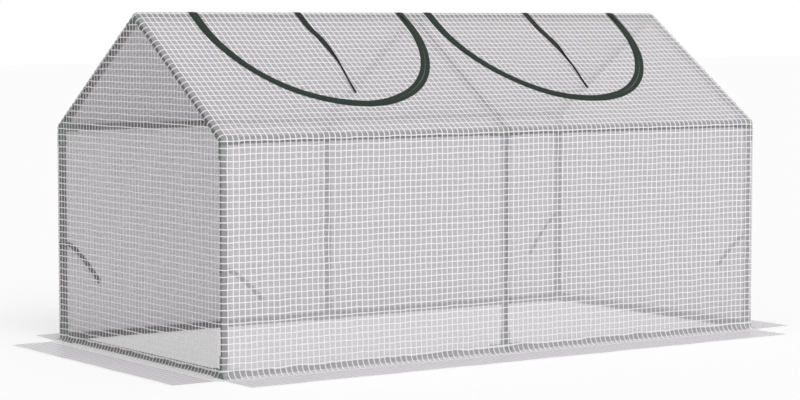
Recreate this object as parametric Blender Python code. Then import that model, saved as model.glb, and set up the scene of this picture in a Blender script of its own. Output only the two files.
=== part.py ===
"""Mini greenhouse: a steel tube frame in moulded connectors, under a sewn film cover with two roof windows.

X runs along the length, the front wall faces -Y and Z is up. The origin is on the ground, under the middle.
All sizes are in metres.
"""

import math
from collections import namedtuple

import bmesh
import bpy
from mathutils import Matrix, Vector

# Overall sizes, measured over the cover
LENGTH = 1.793
WIDTH = 0.913
RIDGE_HEIGHT = 0.922
EAVE_HEIGHT = 0.602  # ground to the eave tubes' centre line, where the flat wall ends

# Frame tubes and the sockets that hold them
TUBE_DIAMETER = 0.019
TUBE_WALL = 0.0007
SOCKET_CLEARANCE = 0.0003
SOCKET_WALL = 0.0022
SOCKET_DEPTH = 0.034
SOCKET_OVERLAP = 0.0014  # how far a socket runs past the connector's middle
SOCKET_STOP_WALL = 0.003  # plastic between the bottoms of two neighbouring bores
COLLAR_HEIGHT = 0.0007
COLLAR_LENGTH = 0.005

# Film cover
FILM_THICKNESS = 0.001
SEAM_GAP = 0.0003  # between panels that are sewn edge to edge
REST_GAP = 0.0003  # between pieces that rest on one another
FOOT_RADIUS = 0.022  # bend from a wall into its skirt
SKIRT_WIDTH = 0.143  # wall to the skirt's outer edge

# Roof windows, drawn on the unrolled roof
WINDOW_GAP = 0.097  # between the two windows
WINDOW_WIDTH = 0.67
WINDOW_DEPTH = 0.423  # ridge seam to the lowest point of the zip
WINDOW_LEG = 0.055  # straight run of the zip below the ridge
FOLD_HEIGHT = 0.005  # the flap folds back over the ridge about a line this far above it

# Zip fasteners
ZIP_TAPE_WIDTH = 0.0133  # each half
ZIP_TAPE_THICKNESS = 0.0006
ZIP_TEETH_WIDTH = 0.002  # each half
ZIP_TEETH_HEIGHT = 0.0014
ZIP_SETBACK = 0.0002  # teeth behind the film's edge
SLIDER_LENGTH = 0.011
SLIDER_WALL = 0.001
SLIDER_FLARE = 1.3  # how much wider its front end is
SLIDER_START = 0.024  # ridge seam to the slider's middle, closed
BRIDGE_LENGTH = 0.0074
BRIDGE_WIDTH = 0.0028
BRIDGE_HEIGHT = 0.0016
PULL_LENGTH = 0.028
PULL_WIDTH = 0.0055
PULL_NECK_WIDTH = 0.0041  # under the bridge
PULL_TIP_WIDTH = 0.0038
PULL_TIP_LENGTH = 0.0056  # widest part, where the hole is, to the tip
PULL_THICKNESS = 0.001
PULL_HOLE_DIAMETER = 0.003

# Tie tapes: one over each window outside, one on each corner post inside
TAPE_THICKNESS = 0.0008
OUTER_TIE_WIDTH = 0.02
OUTER_TIE_LENGTH = 0.375
LEFT_TIE_OFFSET = -0.005  # window's middle to the tape's middle, along X
RIGHT_TIE_OFFSET = 0.016
FURL_START = 0.12  # ridge seam to where the tape starts to roll up lengthwise
FURL_END = 0.265
FURLED_WIDTH = 0.005
FURLED_THICKNESS = 0.003
BOW_WIDTH = 0.0145  # how far the tape swings out sideways
BOW_START = 0.04  # ridge seam to where it starts to swing
BOW_LENGTH = 0.28
BOW_EASE = 0.095  # length over which the swing sets in
INNER_TIE_WIDTH = 0.012
INNER_TIE_HEIGHT = 0.275
INNER_TIE_REACH = 0.1
FRONT_TIE_DROP = 0.08  # how far its tail hangs down
BACK_TIE_DROP = 0.115
INNER_TIE_CURVE = 1.3  # 1 hangs straight, more bends down towards the tail
KNOT_DIAMETER = 0.013
KNOT_OFFSET = 0.00325  # loop to the knot's middle

# Facets
ROUND_SIDES = 12
FOOT_STEPS = 3
EAVE_STEPS = 3
RIDGE_STEPS = 2  # over half the ridge
WINDOW_STEPS = 24
OUTER_TIE_STEPS = 28
INNER_TIE_STEPS = 12
SMOOTH_ANGLE = math.radians(35)  # sharper edges stay sharp
SAME_POINT = 1e-6

# Worked out from the sizes above
TUBE_RADIUS = TUBE_DIAMETER / 2
BORE_RADIUS = TUBE_RADIUS + SOCKET_CLEARANCE
SOCKET_RADIUS = BORE_RADIUS + SOCKET_WALL
BALL_RADIUS = SOCKET_RADIUS - SOCKET_CLEARANCE  # rounds off the corner where sockets meet
COLLAR_RADIUS = SOCKET_RADIUS + COLLAR_HEIGHT
SOCKET_STOP = BORE_RADIUS + SOCKET_STOP_WALL
SOCKET_END = SOCKET_STOP + SOCKET_DEPTH
WRAP_RADIUS = COLLAR_RADIUS + REST_GAP + FILM_THICKNESS  # the cover's outer face round a tube
POST_X = LENGTH / 2 - WRAP_RADIUS
POST_Y = WIDTH / 2 - WRAP_RADIUS
BASE_Z = COLLAR_RADIUS
EAVE_Z = EAVE_HEIGHT
RIDGE_Z = RIDGE_HEIGHT - WRAP_RADIUS
PITCH = math.atan2(RIDGE_Z - EAVE_Z, POST_Y)
RIDGE_BEND = WRAP_RADIUS * PITCH  # run of film from the ridge seam to the flat slope
SEAM_TRIM = SEAM_GAP / 2 / WRAP_RADIUS  # half a seam, as an angle round a tube
FRONT, BACK = -1, 1
LEFT, RIGHT = -1, 1
SIDE_NAMES = {FRONT: "front", BACK: "back"}
END_NAMES = {LEFT: "left", RIGHT: "right"}

Station = namedtuple("Station", "y z normal_y normal_z wrap")


def linear(hex_colour):
    """An sRGB hex colour as linear red, green, blue and alpha."""
    channels = [int(hex_colour[i : i + 2], 16) / 255 for i in (0, 2, 4)]
    return [c / 12.92 if c < 0.04045 else ((c + 0.055) / 1.055) ** 2.4 for c in channels] + [1]


def make_material(name, hex_colour, roughness, metallic=0.0):
    material = bpy.data.materials.new(name)
    material.use_nodes = True
    shader = material.node_tree.nodes["Principled BSDF"]
    shader.inputs["Base Color"].default_value = linear(hex_colour)
    shader.inputs["Roughness"].default_value = roughness
    shader.inputs["Metallic"].default_value = metallic
    material.diffuse_color = linear(hex_colour)
    return material


def make_materials():
    return {
        "steel": make_material("coated_steel", "2A2E2B", 0.45, 0.6),
        "connector": make_material("connector_plastic", "2F7A4C", 0.5),
        "film": make_material("reinforced_film", "CFD6CF", 0.4),
        "zip": make_material("zip_tape", "343D38", 0.85),
        "slider": make_material("slider_metal", "3A403D", 0.35, 0.9),
        "webbing": make_material("webbing", "2A2D2A", 0.9),
    }


def add_object(name, bm, material, origin=(0, 0, 0), parent=None):
    """Makes an object from a closed mesh in world coordinates, with its origin at the given point."""
    origin = Vector(origin)
    bmesh.ops.recalc_face_normals(bm, faces=bm.faces[:])
    bmesh.ops.translate(bm, vec=-origin, verts=bm.verts[:])
    mesh = bpy.data.meshes.new(name)
    bm.to_mesh(mesh)
    bm.free()
    mesh.shade_smooth()
    mesh.set_sharp_from_angle(angle=SMOOTH_ANGLE)
    obj = bpy.data.objects.new(name, mesh)
    if material:
        mesh.materials.append(material)
    bpy.context.scene.collection.objects.link(obj)
    obj.location = origin
    if parent:
        obj.parent = parent
        obj.location = origin - parent.location
    return obj


def add_helper(name, bm):
    """A shape that cuts or joins another one and is no part itself."""
    obj = add_object(name, bm, None)
    obj.hide_render = True
    obj.display_type = "WIRE"
    return obj


def add_joint_empty(name, location):
    empty = bpy.data.objects.new(name, None)
    empty.location = location
    bpy.context.scene.collection.objects.link(empty)
    return empty


def combine(obj, operation, other, self_crossing=False):
    modifier = obj.modifiers.new(operation.title(), "BOOLEAN")
    modifier.operation = operation
    modifier.object = other
    modifier.solver = "EXACT"
    modifier.use_self = self_crossing


def loft(bm, rings):
    """Joins closed rings of equally many points into a body with flat ends. Points that meet become one."""
    loops = [[bm.verts.new(point) for point in ring] for ring in rings]
    count = len(loops[0])
    for near, far in zip(loops, loops[1:]):
        for i in range(count):
            j = (i + 1) % count
            bm.faces.new((near[i], near[j], far[j], far[i]))
    bm.faces.new(reversed(loops[0]))
    bm.faces.new(loops[-1])
    bmesh.ops.remove_doubles(bm, verts=[v for loop in loops for v in loop], dist=SAME_POINT)


def add_box(bm, low, high):
    (x0, y0, z0), (x1, y1, z1) = low, high
    floor = [(x0, y0, z0), (x1, y0, z0), (x1, y1, z0), (x0, y1, z0)]
    loft(bm, [floor, [(x, y, z1) for x, y, _ in floor]])


def add_cylinder(bm, start, end, radius):
    """A closed cylinder between two points, with two of its corners in line with the X or the Y axis."""
    start, end = Vector(start), Vector(end)
    axis = (end - start).normalized()
    across = Vector((0, 1, 0)) if abs(axis.x) > abs(axis.z) else Vector((1, 0, 0))
    turn = Matrix((across, axis.cross(across), axis)).transposed().to_4x4()
    bmesh.ops.create_cone(
        bm,
        cap_ends=True,
        segments=ROUND_SIDES,
        radius1=radius,
        radius2=radius,
        depth=(end - start).length,
        matrix=Matrix.Translation((start + end) / 2) @ turn,
    )


def smooth_step(value):
    value = min(max(value, 0), 1)
    return value * value * (3 - 2 * value)


# Frame


def frame_centres():
    """Where the tubes' centre lines meet: the middles of the connectors, by name."""
    centres = {}
    for place, x in (("left", -POST_X), ("middle", 0), ("right", POST_X)):
        for side, side_name in SIDE_NAMES.items():
            centres[f"base_connector_{side_name}_{place}"] = Vector((x, side * POST_Y, BASE_Z))
            centres[f"eave_connector_{side_name}_{place}"] = Vector((x, side * POST_Y, EAVE_Z))
        centres[f"ridge_connector_{place}"] = Vector((x, 0, RIDGE_Z))
    return centres


def frame_runs():
    """Each tube's name, and the two connectors that it joins."""
    runs = []
    for side_name in SIDE_NAMES.values():
        for place in ("left", "middle", "right"):
            base = f"base_connector_{side_name}_{place}"
            eave = f"eave_connector_{side_name}_{place}"
            runs.append((f"post_{side_name}_{place}", base, eave))
            runs.append((f"rafter_{side_name}_{place}", eave, f"ridge_connector_{place}"))
        for level in ("base", "eave"):
            line = f"{level}_connector_{side_name}"
            for end_name in END_NAMES.values():
                name = f"{level}_tube_{side_name}_{end_name}"
                runs.append((name, f"{line}_{end_name}", f"{line}_middle"))
    for end_name in END_NAMES.values():
        runs.append(
            (f"ridge_tube_{end_name}", f"ridge_connector_{end_name}", "ridge_connector_middle")
        )
        runs.append(
            (
                f"base_tube_{end_name}_end",
                f"base_connector_front_{end_name}",
                f"base_connector_back_{end_name}",
            )
        )
    return runs


def make_tube(name, start, end, material):
    """A tube between two connectors' middles, which stops just short of the bottom of each socket."""
    axis = (end - start).normalized()
    inset = axis * (SOCKET_STOP + REST_GAP)
    bm = bmesh.new()
    add_cylinder(bm, start + inset, end - inset, TUBE_RADIUS)
    tube = add_object(name, bm, material)
    bore = bmesh.new()
    add_cylinder(bore, start, end, TUBE_RADIUS - TUBE_WALL)
    combine(tube, "DIFFERENCE", add_helper(f"{name}_bore", bore))


def make_connector(name, centre, directions, material):
    """A ball of plastic with a collared socket for each tube that meets there."""
    body = bmesh.new()
    bores = bmesh.new()
    bmesh.ops.create_icosphere(
        body, subdivisions=2, radius=BALL_RADIUS, matrix=Matrix.Translation(centre)
    )
    collar_middle = SOCKET_END - COLLAR_LENGTH / 2
    sockets = []
    for direction in directions:
        stop, mouth = centre + direction * SOCKET_STOP, centre + direction * SOCKET_END
        collar = direction * COLLAR_LENGTH
        add_cylinder(body, mouth - collar, mouth, COLLAR_RADIUS)
        add_cylinder(bores, stop, mouth + collar, BORE_RADIUS)
        opposite = [other for other in sockets if (other + direction).length < SAME_POINT]
        if opposite:
            sockets.remove(opposite[0])
            arm = direction * collar_middle
            add_cylinder(body, centre - arm, centre + arm, SOCKET_RADIUS)
        else:
            sockets.append(direction)
    for direction in sockets:
        root, end = centre - direction * SOCKET_OVERLAP, centre + direction * collar_middle
        add_cylinder(body, root, end, SOCKET_RADIUS)
    connector = add_object(name, body, material)
    combine(connector, "DIFFERENCE", add_helper(f"{name}_bores", bores), self_crossing=True)


def make_frame(materials):
    centres = frame_centres()
    runs = frame_runs()
    for name, start, end in runs:
        make_tube(name, centres[start], centres[end], materials["steel"])
    for name, centre in centres.items():
        directions = [
            (centres[end if name == start else start] - centre).normalized()
            for _, start, end in runs
            if name in (start, end)
        ]
        make_connector(name, centre, directions, materials["connector"])


# Cover


def foot_stations():
    """The bend from the skirt up into the front wall."""
    stations = []
    for i in range(FOOT_STEPS + 1):
        turn = math.pi / 2 * i / FOOT_STEPS
        y = -(WIDTH / 2 + FOOT_RADIUS) + FOOT_RADIUS * math.sin(turn)
        z = FILM_THICKNESS + FOOT_RADIUS * (1 - math.cos(turn))
        stations.append(Station(y, z, -math.sin(turn), math.cos(turn), smooth_step(i / FOOT_STEPS)))
    return stations


def bend_stations(centre_y, centre_z, first, last, steps):
    """Stations round a tube, from one angle to another."""
    stations = []
    for i in range(steps + 1):
        angle = first + (last - first) * i / steps
        y, z = math.cos(angle), math.sin(angle)
        stations.append(
            Station(centre_y + WRAP_RADIUS * y, centre_z + WRAP_RADIUS * z, y, z, 1)
        )
    return stations


def front_roof_stations(eave_trim, ridge_trim):
    """From the front eave to the ridge, with the seams' halves trimmed off as angles round the tubes."""
    slope = math.pi / 2 + PITCH
    eave = bend_stations(-POST_Y, EAVE_Z, math.pi - eave_trim, slope, EAVE_STEPS)
    ridge = bend_stations(0, RIDGE_Z, slope, math.pi / 2 + ridge_trim, RIDGE_STEPS)
    return eave + ridge


def panel_point(station, end, turn, height):
    """A point over the cover, at a height above its outer face. Turn is the angle round the end's corner."""
    lean = turn * station.wrap
    sunk = WRAP_RADIUS * (1 - math.cos(turn)) * station.wrap
    return Vector(
        (
            end * (POST_X + WRAP_RADIUS * math.sin(turn) + height * math.sin(lean)),
            station.y + station.normal_y * (height * math.cos(lean) - sunk),
            station.z + station.normal_z * (height * math.cos(lean) - sunk),
        )
    )


def long_panel(stations, bottom, top):
    """A panel along the whole length, which wraps round the ends' corners, between two heights."""
    steps = ROUND_SIDES // 4
    turns = [math.pi / 2 * i / steps for i in range(steps + 1)]
    columns = [(LEFT, turn) for turn in reversed(turns)] + [(RIGHT, turn) for turn in turns]
    rings = []
    for station in stations:
        over = [panel_point(station, end, turn, top) for end, turn in columns]
        under = [panel_point(station, end, turn, bottom) for end, turn in reversed(columns)]
        rings.append(over + under)
    bm = bmesh.new()
    loft(bm, rings)
    return bm


def end_panel(end):
    """A gable panel with the bend into its skirt at the foot and a point under the ridge."""
    half = POST_Y - SEAM_GAP
    peak = RIDGE_Z - SEAM_GAP / math.cos(PITCH)
    rows = []
    for station in foot_stations():
        spread = WIDTH / 2 + (half - WIDTH / 2) * station.wrap
        x = station.y - (LENGTH - WIDTH) / 2
        rows.append((x, station.z, station.normal_y, station.normal_z, spread))
    rows.append((-LENGTH / 2, peak - half * math.tan(PITCH), -1, 0, half))
    rows.append((-LENGTH / 2, peak, -1, 0, 0))
    rings = []
    for x, z, normal_x, normal_z, spread in rows:
        inner_x, inner_z = x - normal_x * FILM_THICKNESS, z - normal_z * FILM_THICKNESS
        rings.append(
            [
                (-end * x, -spread, z),
                (-end * x, spread, z),
                (-end * inner_x, spread, inner_z),
                (-end * inner_x, -spread, inner_z),
            ]
        )
    bm = bmesh.new()
    loft(bm, rings)
    return bm


def make_cover(materials):
    film = materials["film"]
    wall_top = Station(-WIDTH / 2, EAVE_Z - SEAM_GAP / 2, -1, 0, 1)
    front_wall = foot_stations() + [wall_top]
    add_object("cover_front_wall", long_panel(front_wall, -FILM_THICKNESS, 0), film)
    front_roof = front_roof_stations(SEAM_TRIM, SEAM_TRIM)
    roof = add_object("cover_front_roof", long_panel(front_roof, -FILM_THICKNESS, 0), film)
    for end, end_name in END_NAMES.items():
        cutter = window_prism(end, SEAM_GAP / 2)
        combine(roof, "DIFFERENCE", add_helper(f"window_cutter_{end_name}", cutter))
    back = foot_stations() + front_roof_stations(0, SEAM_TRIM)
    back = [s._replace(y=-s.y, normal_y=-s.normal_y) for s in back]
    add_object("cover_back_sheet", long_panel(back, -FILM_THICKNESS, 0), film)
    for end, end_name in END_NAMES.items():
        add_object(f"cover_{end_name}_end", end_panel(end), film)


def make_skirts(materials):
    """The flaps that lie on the ground round the cover. Each folds up about its seam with the wall."""
    inner = FOOT_RADIUS + SEAM_GAP
    film = materials["film"]
    for side, name in SIDE_NAMES.items():
        seam, edge = side * (WIDTH / 2 + inner), side * (WIDTH / 2 + SKIRT_WIDTH)
        hinge = add_joint_empty(f"skirt_{name}_fold", (0, seam, FILM_THICKNESS))
        bm = bmesh.new()
        low = (-LENGTH / 2, min(seam, edge), 0)
        add_box(bm, low, (LENGTH / 2, max(seam, edge), FILM_THICKNESS))
        add_object(f"skirt_{name}", bm, film, hinge.location, hinge)
    for end, name in END_NAMES.items():
        seam, edge = end * (LENGTH / 2 + inner), end * (LENGTH / 2 + SKIRT_WIDTH)
        hinge = add_joint_empty(f"skirt_{name}_fold", (seam, 0, FILM_THICKNESS))
        bm = bmesh.new()
        low = (min(seam, edge), -WIDTH / 2, 0)
        add_box(bm, low, (max(seam, edge), WIDTH / 2, FILM_THICKNESS))
        add_object(f"skirt_{name}", bm, film, hinge.location, hinge)


# Windows


def roof_point(x, run, height):
    """A point over the front roof. Run is the distance down the film from the ridge seam."""
    angle = min(run / WRAP_RADIUS, PITCH)
    radius = WRAP_RADIUS + height
    rest = max(run - RIDGE_BEND, 0)
    return Vector(
        (
            x,
            -radius * math.sin(angle) - rest * math.cos(PITCH),
            RIDGE_Z + radius * math.cos(angle) - rest * math.sin(PITCH),
        )
    )


def ridge_runs(start):
    """Distances down the film over the ridge's bend, in step with its facets, from a start near the seam."""
    return [start] + [RIDGE_BEND * i / RIDGE_STEPS for i in range(1, RIDGE_STEPS + 1)]


def window_centre(end):
    return end * (WINDOW_WIDTH + WINDOW_GAP) / 2


def window_path(end, start):
    """The zip's line on the unrolled roof: points (x, run) and unit vectors away from the window.

    It starts near the ridge seam, runs straight down, round half an ellipse, and straight up again.
    """
    centre, half, curve = window_centre(end), WINDOW_WIDTH / 2, WINDOW_DEPTH - WINDOW_LEG
    leg = ridge_runs(start)
    path = [((centre - half, run), (-1, 0)) for run in leg]
    for i in range(WINDOW_STEPS + 1):
        angle = math.pi * i / WINDOW_STEPS
        across, down = -math.cos(angle), math.sin(angle)
        away = Vector((across * curve, down * half)).normalized()
        path.append(((centre + half * across, WINDOW_LEG + curve * down), (away.x, away.y)))
    path += [((centre + half, run), (1, 0)) for run in reversed(leg)]
    return path


def window_prism(end, growth):
    """The window's outline, grown or shrunk, as a block through the roof that runs out over the ridge."""
    reach = 2 * WRAP_RADIUS
    path = [entry for entry in window_path(end, 0) if entry[0][1] >= RIDGE_BEND]
    outline = []
    for (x, run), (away_x, away_run) in path:
        outline.append((x + away_x * growth, run + away_run * growth))
    outline.insert(0, (outline[0][0], -reach))
    outline.append((outline[-1][0], -reach))
    slope = Matrix.Translation(roof_point(0, RIDGE_BEND, 0)) @ Matrix.Rotation(PITCH, 4, "X")
    rings = [
        [slope @ Vector((x, RIDGE_BEND - run, height)) for x, run in outline]
        for height in (-reach, reach)
    ]
    bm = bmesh.new()
    loft(bm, rings)
    return bm


def zip_half(end, direction, bottom):
    """One side of a zip, swept along the window's line: a flat tape with the teeth standing at its edge.

    Direction is 1 for the half on the roof and -1 for the half on the flap.
    """
    near = SEAM_GAP / 2 + ZIP_SETBACK
    tape_top = REST_GAP + ZIP_TAPE_THICKNESS
    teeth_top = REST_GAP + ZIP_TEETH_HEIGHT
    section = [
        (near, bottom),
        (near, teeth_top),
        (near + ZIP_TEETH_WIDTH, teeth_top),
        (near + ZIP_TEETH_WIDTH, tape_top),
        (near + ZIP_TAPE_WIDTH, tape_top),
        (near + ZIP_TAPE_WIDTH, bottom),
    ]
    rings = []
    for (x, run), (away_x, away_run) in window_path(end, SEAM_GAP):
        rings.append(
            [
                roof_point(x + away_x * direction * across, run + away_run * direction * across, height)
                for across, height in section
            ]
        )
    bm = bmesh.new()
    loft(bm, rings)
    return bm


def tie_bow(run):
    """How far an outer tie swings towards +X: half a sine wave and on, eased in at its start."""
    if run < BOW_START:
        return 0
    wave = math.sin(math.pi * (run - BOW_START) / BOW_LENGTH)
    return BOW_WIDTH * smooth_step((run - BOW_START) / BOW_EASE) * wave


def make_outer_tie(end, name, material, hinge):
    """The tape that hangs from the ridge over a window: flat at the top, then rolled up lengthwise."""
    middle = window_centre(end) + (LEFT_TIE_OFFSET if end == LEFT else RIGHT_TIE_OFFSET)
    hanging = (OUTER_TIE_LENGTH - BOW_START) / OUTER_TIE_STEPS
    runs = ridge_runs(SEAM_GAP) + [BOW_START + hanging * i for i in range(OUTER_TIE_STEPS + 1)]
    rings = []
    for run in runs:
        furled = smooth_step((run - FURL_START) / (FURL_END - FURL_START))
        half = (OUTER_TIE_WIDTH + (FURLED_WIDTH - OUTER_TIE_WIDTH) * furled) / 2
        top = REST_GAP + TAPE_THICKNESS + (FURLED_THICKNESS - TAPE_THICKNESS) * furled
        x = middle + tie_bow(run)
        section = [(x - half, REST_GAP), (x + half, REST_GAP), (x + half, top), (x - half, top)]
        rings.append([roof_point(across, run, height) for across, height in section])
    bm = bmesh.new()
    loft(bm, rings)
    add_object(f"tie_tape_{name}", bm, material, hinge.location, hinge)


def strip_rings(x, places, bottom, top):
    """Sections of a flat strip down the roof. Places are (run, width) and the strip is centred on x."""
    rings = []
    for run, width in places:
        section = [(-width / 2, bottom), (width / 2, bottom), (width / 2, top), (-width / 2, top)]
        rings.append([roof_point(x + across, run, height) for across, height in section])
    return rings


def make_slider(end, name, material, hinge):
    """A slider that straddles the closed teeth, with its bridge and its pull lying down the slope."""
    x = window_centre(end) + WINDOW_WIDTH / 2
    inner = SEAM_GAP / 2 + ZIP_SETBACK + ZIP_TEETH_WIDTH + REST_GAP
    lip = 2 * REST_GAP + ZIP_TAPE_THICKNESS
    ceiling = 2 * REST_GAP + ZIP_TEETH_HEIGHT
    roof = ceiling + SLIDER_WALL
    outer = inner + SLIDER_WALL
    section = [
        (-outer, lip),
        (-inner, lip),
        (-inner, ceiling),
        (inner, ceiling),
        (inner, lip),
        (outer, lip),
        (outer, roof),
        (-outer, roof),
    ]
    body = bmesh.new()
    front, back = SLIDER_START - SLIDER_LENGTH / 2, SLIDER_START + SLIDER_LENGTH / 2
    loft(
        body,
        [
            [roof_point(x + across * wide, run, height) for across, height in section]
            for run, wide in ((front, SLIDER_FLARE), (SLIDER_START, 1), (back, 1))
        ],
    )
    slider = add_object(f"zip_slider_{name}", body, material, roof_point(x, SLIDER_START, 0), hinge)
    pull = bmesh.new()
    foot, tip = roof + REST_GAP, SLIDER_START + PULL_LENGTH
    hole_run = tip - PULL_TIP_LENGTH
    bridge = (
        (SLIDER_START - BRIDGE_LENGTH / 2, BRIDGE_WIDTH),
        (SLIDER_START + BRIDGE_LENGTH / 2, BRIDGE_WIDTH),
    )
    plate = (
        (SLIDER_START, PULL_NECK_WIDTH),
        (hole_run, PULL_WIDTH),
        (tip, PULL_TIP_WIDTH),
    )
    loft(pull, strip_rings(x, bridge, roof - SLIDER_WALL / 2, roof + BRIDGE_HEIGHT))
    loft(pull, strip_rings(x, plate, foot, foot + PULL_THICKNESS))
    combine(slider, "UNION", add_helper(f"zip_pull_{name}", pull), self_crossing=True)
    hole = bmesh.new()
    low, high = roof_point(x, hole_run, lip), roof_point(x, hole_run, foot + 2 * PULL_THICKNESS)
    add_cylinder(hole, low, high, PULL_HOLE_DIAMETER / 2)
    combine(slider, "DIFFERENCE", add_helper(f"zip_pull_hole_{name}", hole))


def make_windows(materials):
    for end, name in END_NAMES.items():
        fold = (window_centre(end), 0, RIDGE_HEIGHT + FOLD_HEIGHT)
        hinge = add_joint_empty(f"window_{name}_fold", fold)
        panel = long_panel(front_roof_stations(SEAM_TRIM, SEAM_TRIM), -FILM_THICKNESS, 0)
        flap = add_object(f"window_flap_{name}", panel, materials["film"], hinge.location, hinge)
        outline = window_prism(end, -SEAM_GAP / 2)
        combine(flap, "INTERSECT", add_helper(f"window_outline_{name}", outline))
        flap_half = zip_half(end, -1, -FILM_THICKNESS / 2)
        combine(flap, "UNION", add_helper(f"zip_flap_half_{name}", flap_half))
        roof_half = zip_half(end, 1, REST_GAP)
        add_object(f"zip_roof_half_{name}", roof_half, materials["zip"])
        make_outer_tie(end, name, materials["webbing"], hinge)
        make_slider(end, name, materials["slider"], hinge)


# Ties inside


def make_inner_tie(side, end, material):
    """A tape tied round a corner post, its knot towards the middle and its tail hanging along the wall."""
    post = Vector((end * POST_X, side * POST_Y, INNER_TIE_HEIGHT))
    band = Vector((0, 0, INNER_TIE_WIDTH / 2))
    loop_radius = TUBE_RADIUS + REST_GAP + TAPE_THICKNESS
    knot = post - Vector((end * (loop_radius + KNOT_OFFSET), 0, 0))
    body = bmesh.new()
    add_cylinder(body, post - band, post + band, loop_radius)
    bmesh.ops.create_icosphere(
        body, subdivisions=1, radius=KNOT_DIAMETER / 2, matrix=Matrix.Translation(knot)
    )
    thick = Vector((0, TAPE_THICKNESS / 2, 0))
    fall = FRONT_TIE_DROP if side == FRONT else BACK_TIE_DROP
    rings = []
    for i in range(INNER_TIE_STEPS + 1):
        along = i / INNER_TIE_STEPS
        drop = fall * along**INNER_TIE_CURVE
        steepness = INNER_TIE_CURVE * fall * along ** (INNER_TIE_CURVE - 1)
        spine = knot - Vector((end * INNER_TIE_REACH * along, 0, drop))
        slope = Vector((INNER_TIE_REACH, 0, steepness)).normalized()
        across = Vector((-end * slope.z, 0, slope.x)) * INNER_TIE_WIDTH / 2
        low, high = spine - across, spine + across
        rings.append([low - thick, high - thick, high + thick, low + thick])
    loft(body, rings)
    tie = add_object(f"inner_tie_{SIDE_NAMES[side]}_{END_NAMES[end]}", body, material)
    bore = bmesh.new()
    add_cylinder(bore, post - 2 * band, post + 2 * band, TUBE_RADIUS + REST_GAP)
    combine(tie, "DIFFERENCE", add_helper(f"{tie.name}_bore", bore), self_crossing=True)


def main():
    for obj in list(bpy.data.objects):
        bpy.data.objects.remove(obj)
    materials = make_materials()
    make_frame(materials)
    make_cover(materials)
    make_skirts(materials)
    make_windows(materials)
    for side in SIDE_NAMES:
        for end in END_NAMES:
            make_inner_tie(side, end, materials["webbing"])


main()
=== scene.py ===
"""Makes the stage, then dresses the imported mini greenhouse: tubes, connectors, film, skirts, zips and ties.

Everything is in metres in the model's own frame: X along the length, the front wall faces -Y, Z is up.
The film is told apart by two distances: x along the length, which goes on round the end posts, and run,
the distance down the film from the ridge seam.
"""

import math
from functools import partial

import bmesh
import bpy
import numpy as np
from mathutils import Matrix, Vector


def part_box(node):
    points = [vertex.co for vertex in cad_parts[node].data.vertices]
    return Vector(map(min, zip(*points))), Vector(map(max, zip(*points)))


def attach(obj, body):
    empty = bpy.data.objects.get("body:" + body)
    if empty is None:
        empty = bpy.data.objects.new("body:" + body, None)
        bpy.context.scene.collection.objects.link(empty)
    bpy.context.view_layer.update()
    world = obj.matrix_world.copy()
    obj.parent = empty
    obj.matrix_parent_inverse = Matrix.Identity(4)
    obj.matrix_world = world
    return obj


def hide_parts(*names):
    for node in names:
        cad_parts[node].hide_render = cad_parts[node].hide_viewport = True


bl_info = {
    "name": "Mini Greenhouse Dressing",
    "version": (1, 0, 0),
    "blender": (4, 5, 0),
    "location": "3D View > Sidebar > Greenhouse",
    "description": "Film cover, zips, ties, tubes and connectors for the mini greenhouse",
    "category": "Object",
}

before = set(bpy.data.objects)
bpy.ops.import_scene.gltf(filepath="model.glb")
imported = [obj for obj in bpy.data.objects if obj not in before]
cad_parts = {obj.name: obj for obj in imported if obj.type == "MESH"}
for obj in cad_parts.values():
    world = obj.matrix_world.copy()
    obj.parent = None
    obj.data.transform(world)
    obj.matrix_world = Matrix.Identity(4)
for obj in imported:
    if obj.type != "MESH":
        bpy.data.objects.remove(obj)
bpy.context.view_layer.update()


def box_middle(node):
    low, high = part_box(node)
    return np.array((low + high) / 2)


def half_size(node):
    low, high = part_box(node)
    return np.array((high - low) / 2)


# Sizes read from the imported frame
POST_X, POST_Y = np.abs(box_middle("post_front_left"))[:2]
BASE_Z = box_middle("base_tube_front_left")[2]
EAVE_Z = box_middle("eave_tube_front_left")[2]
RIDGE_Z = box_middle("ridge_tube_left")[2]
TUBE_RADIUS = half_size("ridge_tube_left")[2]
HALF_LENGTH = half_size("cover_front_wall")[0]
HALF_WIDTH = POST_Y + HALF_LENGTH - POST_X
WRAP = HALF_LENGTH - POST_X  # the film's radius round a tube
SKIRT_EDGE_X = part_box("skirt_right")[1].x
SKIRT_EDGE_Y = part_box("skirt_back")[1].y
SKIRT_SEAM_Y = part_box("skirt_back")[0].y
FOOT_RADIUS = SKIRT_SEAM_Y - HALF_WIDTH
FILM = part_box("skirt_back")[1].z
WINDOW_X = abs(box_middle("window_flap_left")[0])
PITCH = math.atan2(RIDGE_Z - EAVE_Z, POST_Y)
SOCKET_END = np.abs(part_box("base_connector_front_left")[1].z - BASE_Z)

# Sizes of the windows' outline on the unrolled roof, of the zips, the ties, the tubes and the sockets, as in
# the frame's source where it has them
WINDOW_HALF = 0.335
WINDOW_LEG = 0.055
WINDOW_CURVE = 0.368
TOOTH_START = 0.00035  # the window's line to the teeth
TOOTH_WIDTH = 0.002
ZIP_HALF_WIDTH = 0.0133
ZIP_SEAM = 0.006  # the strip of tape that is sewn to the flap's film
ZIP_REST = 0.0003
ZIP_THICKNESS = 0.0006
ZIP_CROWN = 0.0001
ZIP_TAPER = 0.0014  # the outer strip of the tape, which grows thinner
ZIP_SELVEDGE = 0.0002
COIL_WIRE = 0.00035  # radius
COIL_HEIGHT = 0.0009  # the coil's middle over the tape's underside
COIL_RISE = 0.00055  # from there to the wire's middle
RIDGE_GAP = 0.0003  # the ridge seam to the upper ends of the zips and the ties
OUTER_TIE_WIDTH = 0.02
OUTER_TIE_LENGTH = 0.375
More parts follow.
